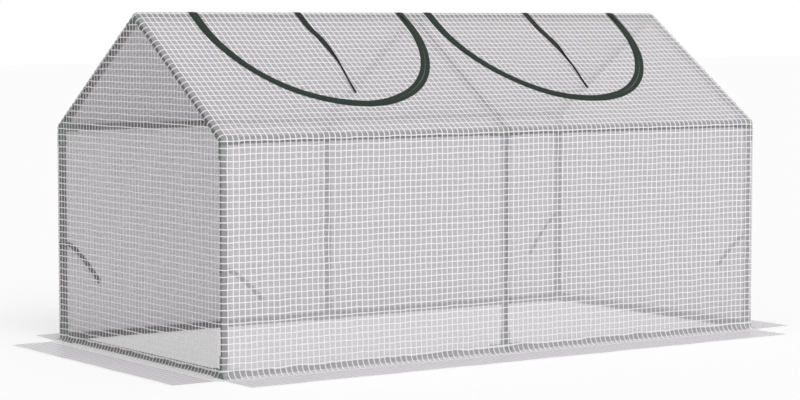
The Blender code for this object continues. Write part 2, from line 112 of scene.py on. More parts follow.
OUTER_TIE_OFFSETS = {-1: -0.005, 1: 0.016}  # window's middle to the tape's, left and right
FURL_START = 0.12
FURL_END = 0.265
FURL_CORE = 0.001  # radius of the roll's innermost turn
FURL_GAP = 0.00105  # from one turn of the roll to the next
FURL_EASE = 0.002  # the strip in which the flat tape starts to roll
BOW_WIDTH = 0.0145
BOW_START = 0.04
BOW_LENGTH = 0.28
BOW_EASE = 0.095
TAPE_THICKNESS = 0.0008
INNER_TIE_WIDTH = 0.012
INNER_TIE_HEIGHT = 0.275
INNER_TIE_REACH = 0.1
INNER_TIE_DROPS = {-1: 0.08, 1: 0.115}  # front and back
INNER_TIE_CURVE = 1.3
INNER_TIE_TAIL = 0.13
INNER_TIE_GAP = 0.0003  # the post to the turn round it
INNER_TIE_CROWN = 0.0002
INNER_TIE_CURL = 0.0006
KNOT_RADIUS = 0.0065
KNOT_OFFSET = 0.00325
KNOT_WAIST = 0.22  # how far each turn of the knot is drawn in at its ends
KNOT_FLATNESS = (0.72, 0.62)  # a turn's width and depth as shares of its height
KNOT_TILT = 0.5
BORE_RADIUS = 0.0098
SOCKET_RADIUS = 0.012
SOCKET_STOP = 0.0128
SOCKET_CHAMFER = (0.0008, 0.0006)  # along and across, at the mouth of the bore
BALL_RADIUS = 0.0118
COLLAR_RADIUS = 0.0127
COLLAR = ((0.0062, 0), (0.005, 1), (0.0008, 1), (0.0002, 0.75), (0, 0))  # from the end, and share of height
COLLAR_GAP = 0.0013  # from the last ring of the plain socket to the collar
TUBE_WALL = 0.0007
TUBE_LIP = 0.0004  # the rolled edge of a tube's end
TUBE_GAP = 0.0003  # a tube's end to the stop in its socket

# The film's bends. The film cuts the eave's corner a little, so it has a wider bend than the tube's own
EAVE_RADIUS = 0.0165
LAP = 0.003  # of the long panels over the end panels, where they are sewn together
LAP_REST = 0.0004  # the lap's height over the end panel
END_INSET = 0.0003  # an end panel's sides to the posts' middles
END_DROP = 0.0004  # an end panel's top to the ridge tube's middle
SKIRT_DROP = 0.0004  # a skirt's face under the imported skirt's
SKIRT_LIFT = 0.0003  # the least that a skirt's outer edge rises
ROOF_DIP = 0.002  # how far the film dips between two threads as it bends round to an end panel
WALL_DIP = 0.001
RIDGE_BEND = WRAP * PITCH
EAVE_BEND = EAVE_RADIUS * (math.pi / 2 - PITCH)
SLOPE = math.hypot(POST_Y, RIDGE_Z - EAVE_Z) - (EAVE_RADIUS - WRAP) * math.tan(math.pi / 4 - PITCH / 2)
ROOF_RUN = RIDGE_BEND + SLOPE + EAVE_BEND
EAVE_TOP = EAVE_Z - (EAVE_RADIUS - WRAP) * math.cos(PITCH) / (1 + math.sin(PITCH))
WALL = EAVE_TOP - FOOT_RADIUS - FILM
FOOT_BEND = FOOT_RADIUS * math.pi / 2
FILM_RUN = ROOF_RUN + WALL + FOOT_BEND
CORNER = WRAP * math.pi / 2  # film round an end post
FILM_X = POST_X + CORNER
LAP_X = FILM_X + LAP

# Slanting ripples: share of the height, radians a metre along and down, and how much the side shifts them
LONG_RIPPLES = ((1, 21, 9, 1), (0.6, -34, 27, 2), (0.4, 11, -55, 3))
END_RIPPLES = ((1, 17, 8, 1), (0.6, -29, 19, 0))
SKIRT_RIPPLES = ((1, 19, 0, 5), (0.7, 43, -20, 0))

# Creases from when the cover lay folded. On the long panels: x at the eave, how far that moves in a metre
# down, and the share of the depth. On the ends: heights, the y at each, and the share of the depth
CREASE_WIDTH = 0.011
LONG_CREASES = ((0.48, -0.075, 1), (-0.39, -0.075, 0.6), (-0.34 + 0.3 * ROOF_RUN, 0.3, 0.5))
END_CREASES = (
    ((0.12, 0.47, 0.6), (-0.171, -0.149, -0.07), 1),
    ((0.1, 0.51), (0.05, 0.185), 0.8),
)

# The grid of threads: cells between the edges, counted from the eave
COLUMNS = 106
WALL_ROWS = 34
ROOF_ROWS = 27.5
COLUMN_PITCH = 2 * HALF_LENGTH / COLUMNS
ROW_PITCH = WALL / WALL_ROWS
ROOF_ROW_PITCH = ROOF_RUN / ROOF_ROWS

# Where the film lies against a tube: a * columns from the middle + b * rows below the eave > c. There it
# hides less, by the share that follows
BAND = 0.56  # half a band's width in columns
RAKE_SHIFT = ROW_PITCH / math.tan(PITCH) / COLUMN_PITCH  # columns that the gable narrows by in one row
POST_BAND = ((1, 0, POST_X / COLUMN_PITCH - BAND), 0.88)
BEND_BAND = ((1, 0, (POST_X + WRAP) / COLUMN_PITCH), 0.3)  # the side of the bend that faces the end
MIDDLE_POST_BAND = ((-1, 0, -BAND), 0.72)
MIDDLE_RAFTER_BAND = ((-1, 0, -BAND), 0.75)
WALL_EAVE_BAND = ((0, -1, -0.6), 0.55)
ROOF_EAVE_BAND = ((0, 1, -0.7), 0.85)
RIDGE_BAND = ((0, -1, ROOF_ROWS - 1.7), 0.8)
END_POST_BAND = ((1, 0, POST_Y / COLUMN_PITCH - BAND), 0.5)
RAKE_BAND = ((1, -RAKE_SHIFT, POST_Y / COLUMN_PITCH - 0.9), 0.4)
WALL_BANDS = (POST_BAND, BEND_BAND, MIDDLE_POST_BAND, WALL_EAVE_BAND)
ROOF_BANDS = (POST_BAND, BEND_BAND, MIDDLE_RAFTER_BAND, RIDGE_BAND, ROOF_EAVE_BAND)
END_BANDS = (END_POST_BAND, RAKE_BAND)

# How finely the meshes are divided
MERGE = 2e-6  # points nearer than this are one
SHARP_ANGLE = math.radians(40)
FILM_STEP = 0.0085  # along the film: half a cell of the thread grid
ROW_STEP = 0.0035  # down the film
BEND_STEP = 0.0025  # round the ridge, the eaves and the end posts
FOOT_STEP = 0.003
SKIRT_STEP = 0.006
ZIP_STEP = 0.004
TIE_STEP = 0.003
SLOPE_ROWS = 140  # from the windows' edge to the eave
FLAP_ROWS = 50
END_ROWS = 96
FOOT_ROWS = 13
CORNER_ROWS = 5
TUBE_RINGS = 9  # the first and the last are inset from the tube's ends
RING_INSET = 0.02
SOCKET_RINGS = 5
BALL_ROWS = 17
BALL_SIDES = 48
SOCKET_SIDES = 64
KNOT_SIDES = 32
BAND_SIDES = 40
TAIL_ROWS = 40
FURL_COLUMNS = 45
COIL_SIDES = 8
LEG_ROWS = 24  # down each straight leg of a zip
WINDOW_ANGLES = np.linspace(0, math.pi, 91)
ZIP_ANGLES = np.linspace(0, math.pi, 721)

# The stage: the camera that fits the photograph, and the light
CAMERA_PLACE = (-3.9445, -5.6554, 0.8994)
CAMERA_TURN = (math.radians(85.767), 0, math.radians(-34.61))
LENS = 108.92  # mm, on a sensor of 36 mm
SENSOR = 36
SUN_TURN = (math.radians(52), 0, math.radians(-8))
SUN_SPREAD = math.radians(38)
SUN_STRENGTH = 1.6
SURROUND_STRENGTH = 0.48
FLOOR_GLOW = 0.576  # what brings the paper's colour up to white for the eye
FLOOR_REACH = 40.0

MM = 0.001
SIDES = {-1: "front", 1: "back"}
ENDS = {-1: "left", 1: "right"}


def linear(hex_colour):
    """An sRGB hex colour as linear red, green, blue and alpha."""
    channels = [int(hex_colour[i : i + 2], 16) / 255 for i in (0, 2, 4)]
    return [c / 12.92 if c < 0.04045 else ((c + 0.055) / 1.055) ** 2.4 for c in channels] + [1]


def length_property(name, description, default):
    return bpy.props.FloatProperty(name=name, description=description, default=default, unit="LENGTH")


def share_property(name, description, default):
    return bpy.props.FloatProperty(
        name=name, description=description, default=default, subtype="FACTOR", min=0, max=1
    )


def colour_property(name, description, hex_colour):
    return bpy.props.FloatVectorProperty(
        name=name, description=description, default=linear(hex_colour), subtype="COLOR", size=4
    )


class GreenhouseSizes(bpy.types.PropertyGroup):
    """Sizes of the film's slack, threads and small parts."""

    thread_width: length_property("Thread Width", "Width of the walls' threads", 0.0029)
    roof_thread_width: length_property("Roof Thread Width", "Width of the roof's threads", 0.0033)
    film_slack: length_property("Film Slack", "How far the film hangs in between two tubes", 0.003)
    film_ripple: length_property("Film Ripple", "Height of the film's long ripples", 0.0009)
    crease: length_property("Crease", "Depth of the creases left by folding", 0.0018)
    skirt_ripple: length_property("Skirt Ripple", "Height of the skirts' ripples", 0.0016)
    coil_pitch: length_property("Coil Pitch", "One turn of the zip's coil", 0.0024)
    round_sides: bpy.props.IntProperty(
        name="Round Sides", description="Faces round a tube", default=36, min=12
    )


class GreenhouseFinish(bpy.types.PropertyGroup):
    """Colours and clearness of the film and the other materials."""

    thread_colour: colour_property("Thread", "White threads in the film", "F7F5F7")
    wall_film_colour: colour_property("Wall Film", "Haze of the long walls' film", "C6C2C6")
    # The ends' haze is darker than the walls' on the same film: painted shade
    end_film_colour: colour_property("End Film", "Haze of the end film", "A6A2A6")
    # The roof's haze is darker than the walls' on the same film, against the stronger light on top: painted
    # shade
    roof_film_shade_colour: colour_property("Roof Film", "Haze of the roof film", "B5B1B5")
    # The skirts' haze is a copy of the film, toned darker than the walls' for the skirts' light: painted
    # shade
    skirt_film_shade_colour: colour_property("Skirt Film", "Haze of the skirts' film", "C1BDC1")
    wall_cover: share_property("Wall Cover", "How much of what is behind them the long walls hide", 0.62)
    left_end_cover: share_property("Left End Cover", "How much of what is behind it the left end hides", 0.37)
    # The right end hides more than the left, which darkens it: painted shade
    right_end_cover: share_property(
        "Right End Cover", "How much of what is behind it the right end hides", 0.56
    )
    roof_cover: share_property("Roof Cover", "How much of what is behind it the roof film hides", 0.8)
    skirt_cover: share_property("Skirt Cover", "How much of what is under it a skirt hides", 0.65)
    zip_colour: colour_property("Zip Tape", "Woven zip tape", "1A2A20")
    coil_colour: colour_property("Zip Coil", "Nylon coil", "3F5147")
    tie_colour: colour_property("Tie Tape", "Woven tie tape", "181C1A")
    tube_colour: colour_property("Tube", "Powder coat on the tubes", "2A2E2B")
    connector_colour: colour_property("Connector", "Moulded plastic", "375F4A")
    slider_colour: colour_property("Slider", "Lacquered zinc", "3A403D")


def sizes():
    return bpy.context.scene.greenhouse_sizes


def finish():
    return bpy.context.scene.greenhouse_finish


# Meshes


def grid(points, pattern=None, material=0):
    """Points on a grid of two parameters, with the pattern's place at each of them."""
    if pattern is None:
        pattern = np.zeros(points.shape[:2] + (2,))
    return points, np.broadcast_to(pattern, points.shape[:2] + (2,)), material


def make_piece(name, grids, materials, body, nodes=(), closed=True):
    """Joins grids into one mesh of quads, closes the seams where points meet, and puts it on its body."""
    corners, patterns, quads, kinds, count = [], [], [], [], 0
    for points, pattern, material in grids:
        rows, columns = points.shape[:2]
        index = count + np.arange(rows * columns).reshape(rows, columns)
        cells = (index[:-1, :-1], index[:-1, 1:], index[1:, 1:], index[1:, :-1])
        quads.append(np.stack(cells, axis=-1).reshape(-1, 4))
        kinds.append(np.full(len(quads[-1]), material))
        corners.append(points.reshape(-1, 3))
        patterns.append(pattern.reshape(-1, 2))
        count += rows * columns
    quads = np.concatenate(quads)
    mesh = bpy.data.meshes.new(name)
    mesh.from_pydata(np.concatenate(corners).tolist(), [], quads.tolist())
    pattern = np.concatenate(patterns)[quads.ravel()].ravel().astype(np.float32)
    mesh.uv_layers.new(name="pattern").data.foreach_set("uv", pattern)
    mesh.polygons.foreach_set("material_index", np.concatenate(kinds).astype(np.int32))
    for material in materials:
        mesh.materials.append(material)
    bm = bmesh.new()
    bm.from_mesh(mesh)
    bmesh.ops.remove_doubles(bm, verts=bm.verts[:], dist=MERGE)
    if closed:
        bmesh.ops.recalc_face_normals(bm, faces=bm.faces[:])
    bm.to_mesh(mesh)
    bm.free()
    mesh.shade_smooth()
    mesh.set_sharp_from_angle(angle=SHARP_ANGLE)
    piece = bpy.data.objects.new(name, mesh)
    bpy.context.scene.collection.objects.link(piece)
    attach(piece, body)
    if nodes:
        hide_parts(*nodes)
    return piece


def film_piece(name, grids, films, node, body="greenhouse"):
    """Film is one open surface, in the place of one node of the frame."""
    return make_piece(name, grids, films, body, [node], closed=False)


def stacked(*values):
    """Arrays spread to one shape, as the coordinates of points."""
    return np.stack(np.broadcast_arrays(*values), axis=-1)


def unit(vectors):
    return vectors / np.linalg.norm(vectors, axis=-1, keepdims=True)


def smooth_step(value):
    """From 0 to 1 with no slope at both ends: 3 value squared - 2 value cubed."""
    value = np.clip(value, 0, 1)
    return value * value * (3 - 2 * value)


def fine_steps(*stops, size):
    """Distances from the first stop to the last, through each stop, in steps of at most a size."""
    pieces = [np.linspace(a, b, max(2, math.ceil((b - a) / size) + 1))[:-1] for a, b in zip(stops, stops[1:])]
    return np.concatenate(pieces + [np.array([stops[-1]])])


def turned(start, direction, profile, sides):
    """A profile of (distance along, radius) turned round a direction from a start: point = start +
    direction times distance + radius times (side cos angle + across sin angle)."""
    direction = unit(np.asarray(direction, float))
    side = unit(np.cross(direction, (0, 0, 1) if abs(direction[2]) < 0.9 else (0, 1, 0)))
    across = np.cross(direction, side)
    angle = np.linspace(0, 2 * math.pi, sides + 1)
    along, radius = np.asarray(profile, float).T
    ring = side * np.cos(angle)[:, None] + across * np.sin(angle)[:, None]
    points = start + direction * along[:, None, None] + ring * radius[:, None, None]
    return grid(points, stacked(along[:, None], angle * radius.max()))


# The cover's shape


def cover_profile(run):
    """Places down the film: y, z, the lean of its outward normal from straight up, and how far it wraps
    round the end posts. The film turns round the ridge tube, goes straight down the slope, turns round
    the eave, goes straight down the wall and turns outwards through the foot's bend."""
    ridge = np.clip(run / WRAP, 0, PITCH)
    slope = np.clip(run - RIDGE_BEND, 0, SLOPE)
    eave = PITCH + np.clip((run - RIDGE_BEND - SLOPE) / EAVE_RADIUS, 0, math.pi / 2 - PITCH)
    wall = np.clip(run - ROOF_RUN, 0, WALL)
    foot = np.clip((run - ROOF_RUN - WALL) / FOOT_RADIUS, 0, math.pi / 2)
    y = -WRAP * np.sin(ridge) - slope * math.cos(PITCH)
    y -= EAVE_RADIUS * (np.sin(eave) - math.sin(PITCH)) + FOOT_RADIUS * (1 - np.cos(foot))
    z = RIDGE_Z + WRAP * np.cos(ridge) - slope * math.sin(PITCH)
    z -= EAVE_RADIUS * (math.cos(PITCH) - np.cos(eave)) + wall + FOOT_RADIUS * np.sin(foot)
    lean = ridge + eave - PITCH - foot
    return y, z, lean, smooth_step(1 - foot / (math.pi / 2))


def bulge(value):
    """1 in the middle and 0 with no slope at both ends of -1 to 1: (1 - value squared) squared."""
    return np.clip(1 - value * value, 0, 1) ** 2


def rippled(ripples, along, down, side):
    """Ripples added up: share times sine of (along, down and side, each times its number)."""
    return sum(share * np.sin(a * along + b * down + c * side) for share, a, b, c in ripples)


def slack(hold, ripple, creases):
    """How far the film hangs in: hold times the slack + root of hold times (ripple height times (1 +
    ripple) + crease depth times share times e to the minus square of (distance from it / width))."""
    settings = sizes()
    fine = settings.film_ripple * (1 + ripple)
    for away, share in creases:
        fine = fine + settings.crease * share * np.exp(-((away / CREASE_WIDTH) ** 2))
    return hold * settings.film_slack + hold**0.5 * fine


def long_slack(x, run, side):
    """How far a long panel hangs in, with a bulge over each bay of the frame."""
    bay = bulge(2 * np.abs(x) / POST_X - 1) * (np.abs(x) < POST_X)
    slope = bulge(2 * (run - RIDGE_BEND) / SLOPE - 1) * (run < ROOF_RUN)
    wall = bulge(2 * (run - ROOF_RUN) / WALL - 1) * (run > ROOF_RUN)
    creases = [(x - at - shift * (run - ROOF_RUN), share) for at, shift, share in LONG_CREASES]
    return slack(bay * (slope + wall), rippled(LONG_RIPPLES, x, run, side), creases)


def end_slack(y, z, end):
    """How far an end panel hangs in, with one bulge over the whole gable."""
    top = RIDGE_Z - np.abs(y) * math.tan(PITCH)
    hold = bulge(y / POST_Y) * bulge(2 * np.clip(z / top, 0, 1) - 1)
    creases = [(y - np.interp(z, heights, places), share) for heights, places, share in END_CREASES]
    return slack(hold, rippled(END_RIPPLES, y, z, end), creases)


def long_points(x, run, height, side):
    """Points over a panel that runs the whole length, a height above its outer face. Past the end posts
    x goes on round them: turn = distance past the post / radius, the film reaches radius times sin turn
    past the post and sinks by radius times (1 - cos turn), and what is left over laps on down the end.
    On the bend it dips between the threads: depth times the square of sine of pi times the rows from the
    eave. The height is measured from the hanging film."""
    x, run, height = np.broadcast_arrays(x, run, height)
    y, z, lean, wrap = cover_profile(run)
    past = np.abs(x) - POST_X
    turn = np.clip(past, 0, CORNER) / WRAP
    on_roof = run < ROOF_RUN
    rows = (run - ROOF_RUN) / np.where(on_roof, ROOF_ROW_PITCH, ROW_PITCH)
    dip = np.where(on_roof, ROOF_DIP, WALL_DIP) * np.sin(math.pi * rows) ** 2 * np.sin(turn * 2)
    height = height - long_slack(x, run, side) - dip * wrap
    height = height + LAP_REST * smooth_step(turn / (math.pi / 2)) * wrap
    sink = (WRAP * (1 - np.cos(turn)) + np.clip(past - CORNER, 0, None)) * wrap
    outward = height * np.cos(turn * wrap) - sink
    along = np.minimum(np.abs(x), POST_X) + WRAP * np.sin(turn) + height * np.sin(turn * wrap)
    y = y - np.sin(lean) * outward
    return stacked(np.sign(x) * along, -side * y, z + np.cos(lean) * outward)


def long_threads(x, run):
    """Which thread of the grid each point lies at: columns from the left edge, rows down from the eave."""
    roof = (run - ROOF_RUN) / ROOF_ROW_PITCH
    wall = np.clip(run - ROOF_RUN, 0, WALL) / ROW_PITCH
    foot = np.clip(run - ROOF_RUN - WALL, 0, None) / FOOT_BEND
    return stacked((x + HALF_LENGTH) / COLUMN_PITCH, np.minimum(roof, 0) + wall + foot)


def long_grid(x, run, side, material=0):
    """A panel from columns x and rows run, wound so that its faces point outwards."""
    if side > 0:
        x = x[..., ::-1]
        run = run[..., ::-1] if run.shape[-1] > 1 else run
    return grid(long_points(x, run, 0, side), long_threads(x, run), material)


def roof_rows():
    """Rows round the ridge, and rows round the eave."""
    ridge = fine_steps(0, RIDGE_BEND, size=BEND_STEP)
    return ridge, fine_steps(RIDGE_BEND + SLOPE, ROOF_RUN, size=BEND_STEP)


def wall_rows():
    """Rows from the eave down the wall and on round the foot."""
    wall = fine_steps(ROOF_RUN, ROOF_RUN + WALL, size=ROW_STEP)
    return np.concatenate((wall, fine_steps(ROOF_RUN + WALL, FILM_RUN, size=FOOT_STEP)[1:]))


def end_columns():
    """Columns from the right end post round its bend and over the lap."""
    return fine_steps(POST_X, FILM_X, LAP_X, size=BEND_STEP)


def full_width():
    """Columns from the left lap to the right lap."""
    ends = end_columns()
    inner = fine_steps(-POST_X, 0, POST_X, size=FILM_STEP)
    return np.concatenate((-ends[::-1], inner[1:-1], ends))


def window_edge(angle, centre, inset=0.0):
    """The window's lower edge: x = centre - half width cos angle, run = leg + curve sin angle, drawn in
    by an inset."""
    half, curve = WINDOW_HALF - inset, WINDOW_CURVE - inset
    return centre - half * np.cos(angle), WINDOW_LEG + curve * np.sin(angle)


# Materials


def add_node(tree, kind, inputs=(), **settings):
    """Adds a shader node with its settings. Its inputs are given by name, or in the order of those in use,
    such as value, from low, from high, to low and to high for a Map Range. Each is a value, an output, or a
    node for the first of its outputs in use."""
    node = tree.nodes.new(f"ShaderNode{kind}")
    for name, value in settings.items():
        setattr(node, name, value)
    sockets = [socket for socket in node.inputs if socket.enabled]
    if isinstance(inputs, dict):
        sockets, inputs = [node.inputs[name] for name in inputs], inputs.values()
    for socket, value in zip(sockets, inputs):
        if isinstance(value, bpy.types.Node):
            value = next(output for output in value.outputs if output.enabled)
        if isinstance(value, bpy.types.NodeSocket):
            tree.links.new(value, socket)
        else:
            socket.default_value = value
    return node


def new_material(name):
    """A material with an empty tree, and the function that adds nodes to it."""
    material = bpy.data.materials.new(name)
    material.use_nodes = True
    material.node_tree.nodes.clear()
    return material, partial(add_node, material.node_tree)


def film_material(name, haze, cover, bands=(), middle=0.0, row_pitch=ROW_PITCH, thread_width=None):
    """Polyethylene film, laminated over a grid of white threads.

    The eye sees white lines 17 mm apart over a milky clear sheet that is faintly cloudy and wrinkled.
    The threads are about 3 mm wide, two flat yarns side by side, and stand 0.3 mm proud. In the bands
    where it lies against a tube it is stretched clearer. The last thread along each end edge is left out.
    """
    material, add = new_material(name)
    place = add("TexCoord").outputs["Object"]
    drift = add("TexNoise", {"Vector": place, "Scale": 1 / (60 * MM), "Detail": 2.0})
    cloud = add("TexNoise", {"Vector": place, "Scale": 1 / (35 * MM), "Detail": 4.0, "Roughness": 0.6})
    grain = add("TexNoise", {"Vector": place, "Scale": 1 / (5.5 * MM), "Detail": 3.0})
    cross = add("SeparateXYZ", [add("UVMap", uv_map="pattern")])
    columns, rows = cross.outputs["X"], cross.outputs["Y"]
    from_middle = add("Math", [columns, middle], operation="SUBTRACT")
    from_middle = add("Math", [from_middle], operation="ABSOLUTE")

    # A thread is where the nearest line of the grid is less than half its width away. It wanders a little
    drift = add("MapRange", [drift, 0.0, 1.0, -0.17, 0.17])
    half, soft = (thread_width or sizes().thread_width) / 2, 0.5 * MM
    lines = []
    for cells, pitch in ((columns, COLUMN_PITCH), (rows, row_pitch)):
        moved = add("Math", [cells, drift], operation="ADD")
        away = add("Math", [moved, 0.5], operation="PINGPONG")
        edge = [away, (half - soft) / pitch, (half + soft) / pitch, 1.0, 0.0]
        lines.append(add("MapRange", edge, interpolation_type="SMOOTHSTEP"))
    if bands:
        inner = [from_middle, middle - 0.55, middle - 0.5, 1.0, 0.0]
        inner = add("MapRange", inner, interpolation_type="SMOOTHSTEP")
        lines[0] = add("Math", [lines[0], inner], operation="MULTIPLY")
    thread = add("Math", lines, operation="MAXIMUM")
    knots = add("Math", lines, operation="MULTIPLY")

    # Milky haze, whiter in its clouds and greyer in its grain, with the threads over it
    colour = list(haze)
    for noise, low, high, shade in ((cloud, 0.0, 0.16, "E9E8EA"), (grain, -0.12, 0.32, "8F9091")):
        share = add("MapRange", [noise, 0.0, 1.0, low, high])
        colour = add("Mix", [share, colour, linear(shade)], data_type="RGBA")
    colour = add("Mix", [thread, colour, list(finish().thread_colour)], data_type="RGBA")

    # How much it hides: the film by its cover, less in each band, and the threads nearly all
    hidden = add("MapRange", [cloud, 0.0, 1.0, cover - 0.05, cover + 0.05])
    uneven = add("MapRange", [grain, 0.0, 1.0, -0.12, 0.12])
    hidden = add("Math", [hidden, uneven], operation="ADD")
    spot = add("CombineXYZ", [from_middle, rows, -1.0])
    for band, share in bands:
        inside = add("VectorMath", [spot, band], operation="DOT_PRODUCT")
        kept = add("MapRange", [inside, -0.15, 0.15, 1.0, share], interpolation_type="SMOOTHSTEP")
        hidden = add("Math", [hidden, kept], operation="MULTIPLY")
    solid = add("MapRange", [knots, 0.0, 1.0, 0.9, 0.97])
    hides = add("Mix", [thread, hidden, solid], data_type="FLOAT")

    # Threads stand proud, and the film between them is wrinkled by its clouds and its grain
    height = thread
    for noise, share in ((grain, 0.25), (cloud, 1.6)):
        height = add("Math", [noise, share, height], operation="MULTIPLY_ADD")
    bump = add("Bump", {"Height": height, "Distance": 0.3 * MM, "Strength": 0.7})
    shader = add(
        "BsdfPrincipled",
        {
            "Base Color": colour,
            "Alpha": hides,
            "Roughness": add("MapRange", [thread, 0.0, 1.0, 0.34, 0.55]),
            "IOR": 1.5,
            "Normal": bump,
        },
    )
    add("OutputMaterial", {"Surface": shader})
    return material


def woven_tape_material(name, colour, rib, edge):
    """Woven polyester tape.

    The eye sees fine ribs across the tape, a darker strip along both edges and dull fibre ends. Real
    ribs are about 0.5 mm apart and are drawn coarser, so that they show.
    """
    material, add = new_material(name)
    place = add("TexCoord").outputs["Object"]
    fibre = add("TexNoise", {"Vector": place, "Scale": 1 / (1.5 * MM), "Detail": 4.0})
    cross = add("SeparateXYZ", [add("UVMap", uv_map="pattern")])
    ribs = []
    warp = rib * 0.8  # the lengthwise yarns lie a little closer
    for way, pitch in ((cross.outputs["X"], rib), (cross.outputs["Y"], warp)):
        count = add("Math", [way, pitch], operation="DIVIDE")
        ribs.append(add("Math", [count, 0.5], operation="PINGPONG"))
    weave = add("Math", ribs, operation="ADD")
    side = add("Math", [cross.outputs["Y"]], operation="ABSOLUTE")
    side = add("MapRange", [side, edge - 1.2 * MM, edge, 0.0, 1.0], interpolation_type="SMOOTHSTEP")
    for pattern, low, high, shade in (
        (weave, 0.2, 0.0, "44524A"),
        (fibre, 0.0, 0.4, "121914"),
        (side, 0.0, 0.4, "161E19"),
    ):
        share = add("MapRange", [pattern, 0.0, 1.0, low, high])
        colour = add("Mix", [share, colour, linear(shade)], data_type="RGBA")
    height = add("Math", [fibre, 0.4, weave], operation="MULTIPLY_ADD")
    shader = add(
        "BsdfPrincipled",
        {
            "Base Color": colour,
            "Roughness": add("MapRange", [fibre, 0.0, 1.0, 0.72, 0.92]),
            "Specular IOR Level": 0.25,
            "Sheen Weight": 0.05,
            "Sheen Roughness": 0.5,
            "Normal": add("Bump", {"Height": height, "Distance": 0.3 * MM, "Strength": 0.9}),
        },
    )
    add("OutputMaterial", {"Surface": shader})
    return material


def coil_material(name):
    """Nylon zip coil, drawn filament: smooth and a little shiny, with dye that is uneven."""
    material, add = new_material(name)
    place = add("TexCoord").outputs["Object"]
    uneven = add("TexNoise", {"Vector": place, "Scale": 1 / (4 * MM), "Detail": 3.0})
    share = add("MapRange", [uneven, 0.0, 1.0, 0.0, 0.5])
    colour = add("Mix", [share, list(finish().coil_colour), linear("27312B")], data_type="RGBA")
    roughness = add("MapRange", [uneven, 0.0, 1.0, 0.28, 0.42])
    shader = add("BsdfPrincipled", {"Base Color": colour, "Roughness": roughness, "IOR": 1.53})
    add("OutputMaterial", {"Surface": shader})
    return material


def tube_material(name):
    """Mild steel tube, powder coated: a satin skin with fine orange peel and a few dull scuffs."""
    material, add = new_material(name)
    place = add("TexCoord").outputs["Object"]
    peel = add("TexNoise", {"Vector": place, "Scale": 1 / (1.8 * MM), "Detail": 2.0})
    scuff = add("TexNoise", {"Vector": place, "Scale": 1 / (30 * MM), "Detail": 5.0, "Roughness": 0.7})
    worn = add("MapRange", [scuff, 0.55, 0.75, 0.0, 0.6], interpolation_type="SMOOTHSTEP")
    colour = add("Mix", [worn, list(finish().tube_colour), linear("4A504C")], data_type="RGBA")
    shader = add(
        "BsdfPrincipled",
        {
            "Base Color": colour,
            "Roughness": add("MapRange", [scuff, 0.0, 1.0, 0.38, 0.6]),
            "IOR": 1.5,
            "Normal": add("Bump", {"Height": peel, "Distance": 0.12 * MM, "Strength": 0.8}),
        },
    )
    add("OutputMaterial", {"Surface": shader})
    return material


def connector_material(name):
    """Polypropylene, injection moulded: fine spark-eroded grain, faint flow marks and soft gloss."""
    material, add = new_material(name)
    place = add("TexCoord").outputs["Object"]
    grain = add("TexNoise", {"Vector": place, "Scale": 1 / (1.2 * MM), "Detail": 3.0})
    flow = add("TexNoise", {"Vector": place, "Scale": 1 / (18 * MM), "Detail": 3.0, "Roughness": 0.6})
    colour = list(finish().connector_colour)
    for noise, most, shade in ((flow, 0.5, "294637"), (grain, 0.2, "5E806B")):
        share = add("MapRange", [noise, 0.0, 1.0, 0.0, most])
        colour = add("Mix", [share, colour, linear(shade)], data_type="RGBA")
    shader = add(
        "BsdfPrincipled",
        {
            "Base Color": colour,
            "Roughness": add("MapRange", [flow, 0.0, 1.0, 0.42, 0.56]),
            "IOR": 1.49,
            "Normal": add("Bump", {"Height": grain, "Distance": 0.08 * MM, "Strength": 0.8}),
        },
    )
    add("OutputMaterial", {"Surface": shader})
    return material


def slider_material(name):
    """Zinc, die cast and lacquered: dark and shiny, with bare metal where it is rubbed."""
    material, add = new_material(name)
    place = add("TexCoord").outputs["Object"]
    rub = add("TexNoise", {"Vector": place, "Scale": 1 / (3 * MM), "Detail": 4.0, "Roughness": 0.7})
    bare = add("MapRange", [rub, 0.6, 0.72, 0.0, 0.8], interpolation_type="SMOOTHSTEP")
    colour = add("Mix", [bare, list(finish().slider_colour), linear("9A9C98")], data_type="RGBA")
    shader = add(
        "BsdfPrincipled",
        {
            "Base Color": colour,
            "Metallic": 0.85,
            "Roughness": add("MapRange", [rub, 0.0, 1.0, 0.28, 0.5]),
            "Normal": add("Bump", {"Height": rub, "Distance": 0.06 * MM, "Strength": 1.0}),
        },
    )
    add("OutputMaterial", {"Surface": shader})
    return material


def shared(name, maker, *arguments):
    """A finish that is made once and then shared."""
    return bpy.data.materials.get(name) or maker(name, *arguments)


def wall_film():
    colours = finish()
    haze, cover = colours.wall_film_colour, colours.wall_cover
    return shared("polyethylene_film_wall", film_material, haze, cover, WALL_BANDS, COLUMNS / 2)


def end_film(end):
    """The right end is hazier than the left, as it is seen through the front wall in the photograph. That
    extra haze is painted shade, and so is the ends' haze, darker than the walls'.
    """
    colours, name = finish(), f"polyethylene_film_{ENDS[end]}_end"
    cover = colours.right_end_cover if end > 0 else colours.left_end_cover
    return shared(name, film_material, colours.end_film_colour, cover, END_BANDS, HALF_WIDTH / COLUMN_PITCH)


def roof_film():
    colours = finish()
    # The roof's darker haze is painted shade
    haze, cover = colours.roof_film_shade_colour, colours.roof_cover
    cells = (COLUMNS / 2, ROOF_ROW_PITCH, sizes().roof_thread_width)
    return shared("polyethylene_film_roof", film_material, haze, cover, ROOF_BANDS, *cells)


def skirt_film():
    colours = finish()
    # The skirts' darker haze is painted shade
    return shared("polyethylene_film_skirt", film_material, colours.skirt_film_shade_colour, colours.skirt_cover)


# Frame


def frame_centres():
    """The middles of the connectors, by name."""
    centres = {}
    for place, x in (("left", -POST_X), ("middle", 0.0), ("right", POST_X)):
        for side, name in SIDES.items():
            centres[f"base_connector_{name}_{place}"] = np.array((x, side * POST_Y, BASE_Z))
            centres[f"eave_connector_{name}_{place}"] = np.array((x, side * POST_Y, EAVE_Z))
        centres[f"ridge_connector_{place}"] = np.array((x, 0.0, RIDGE_Z))
    return centres


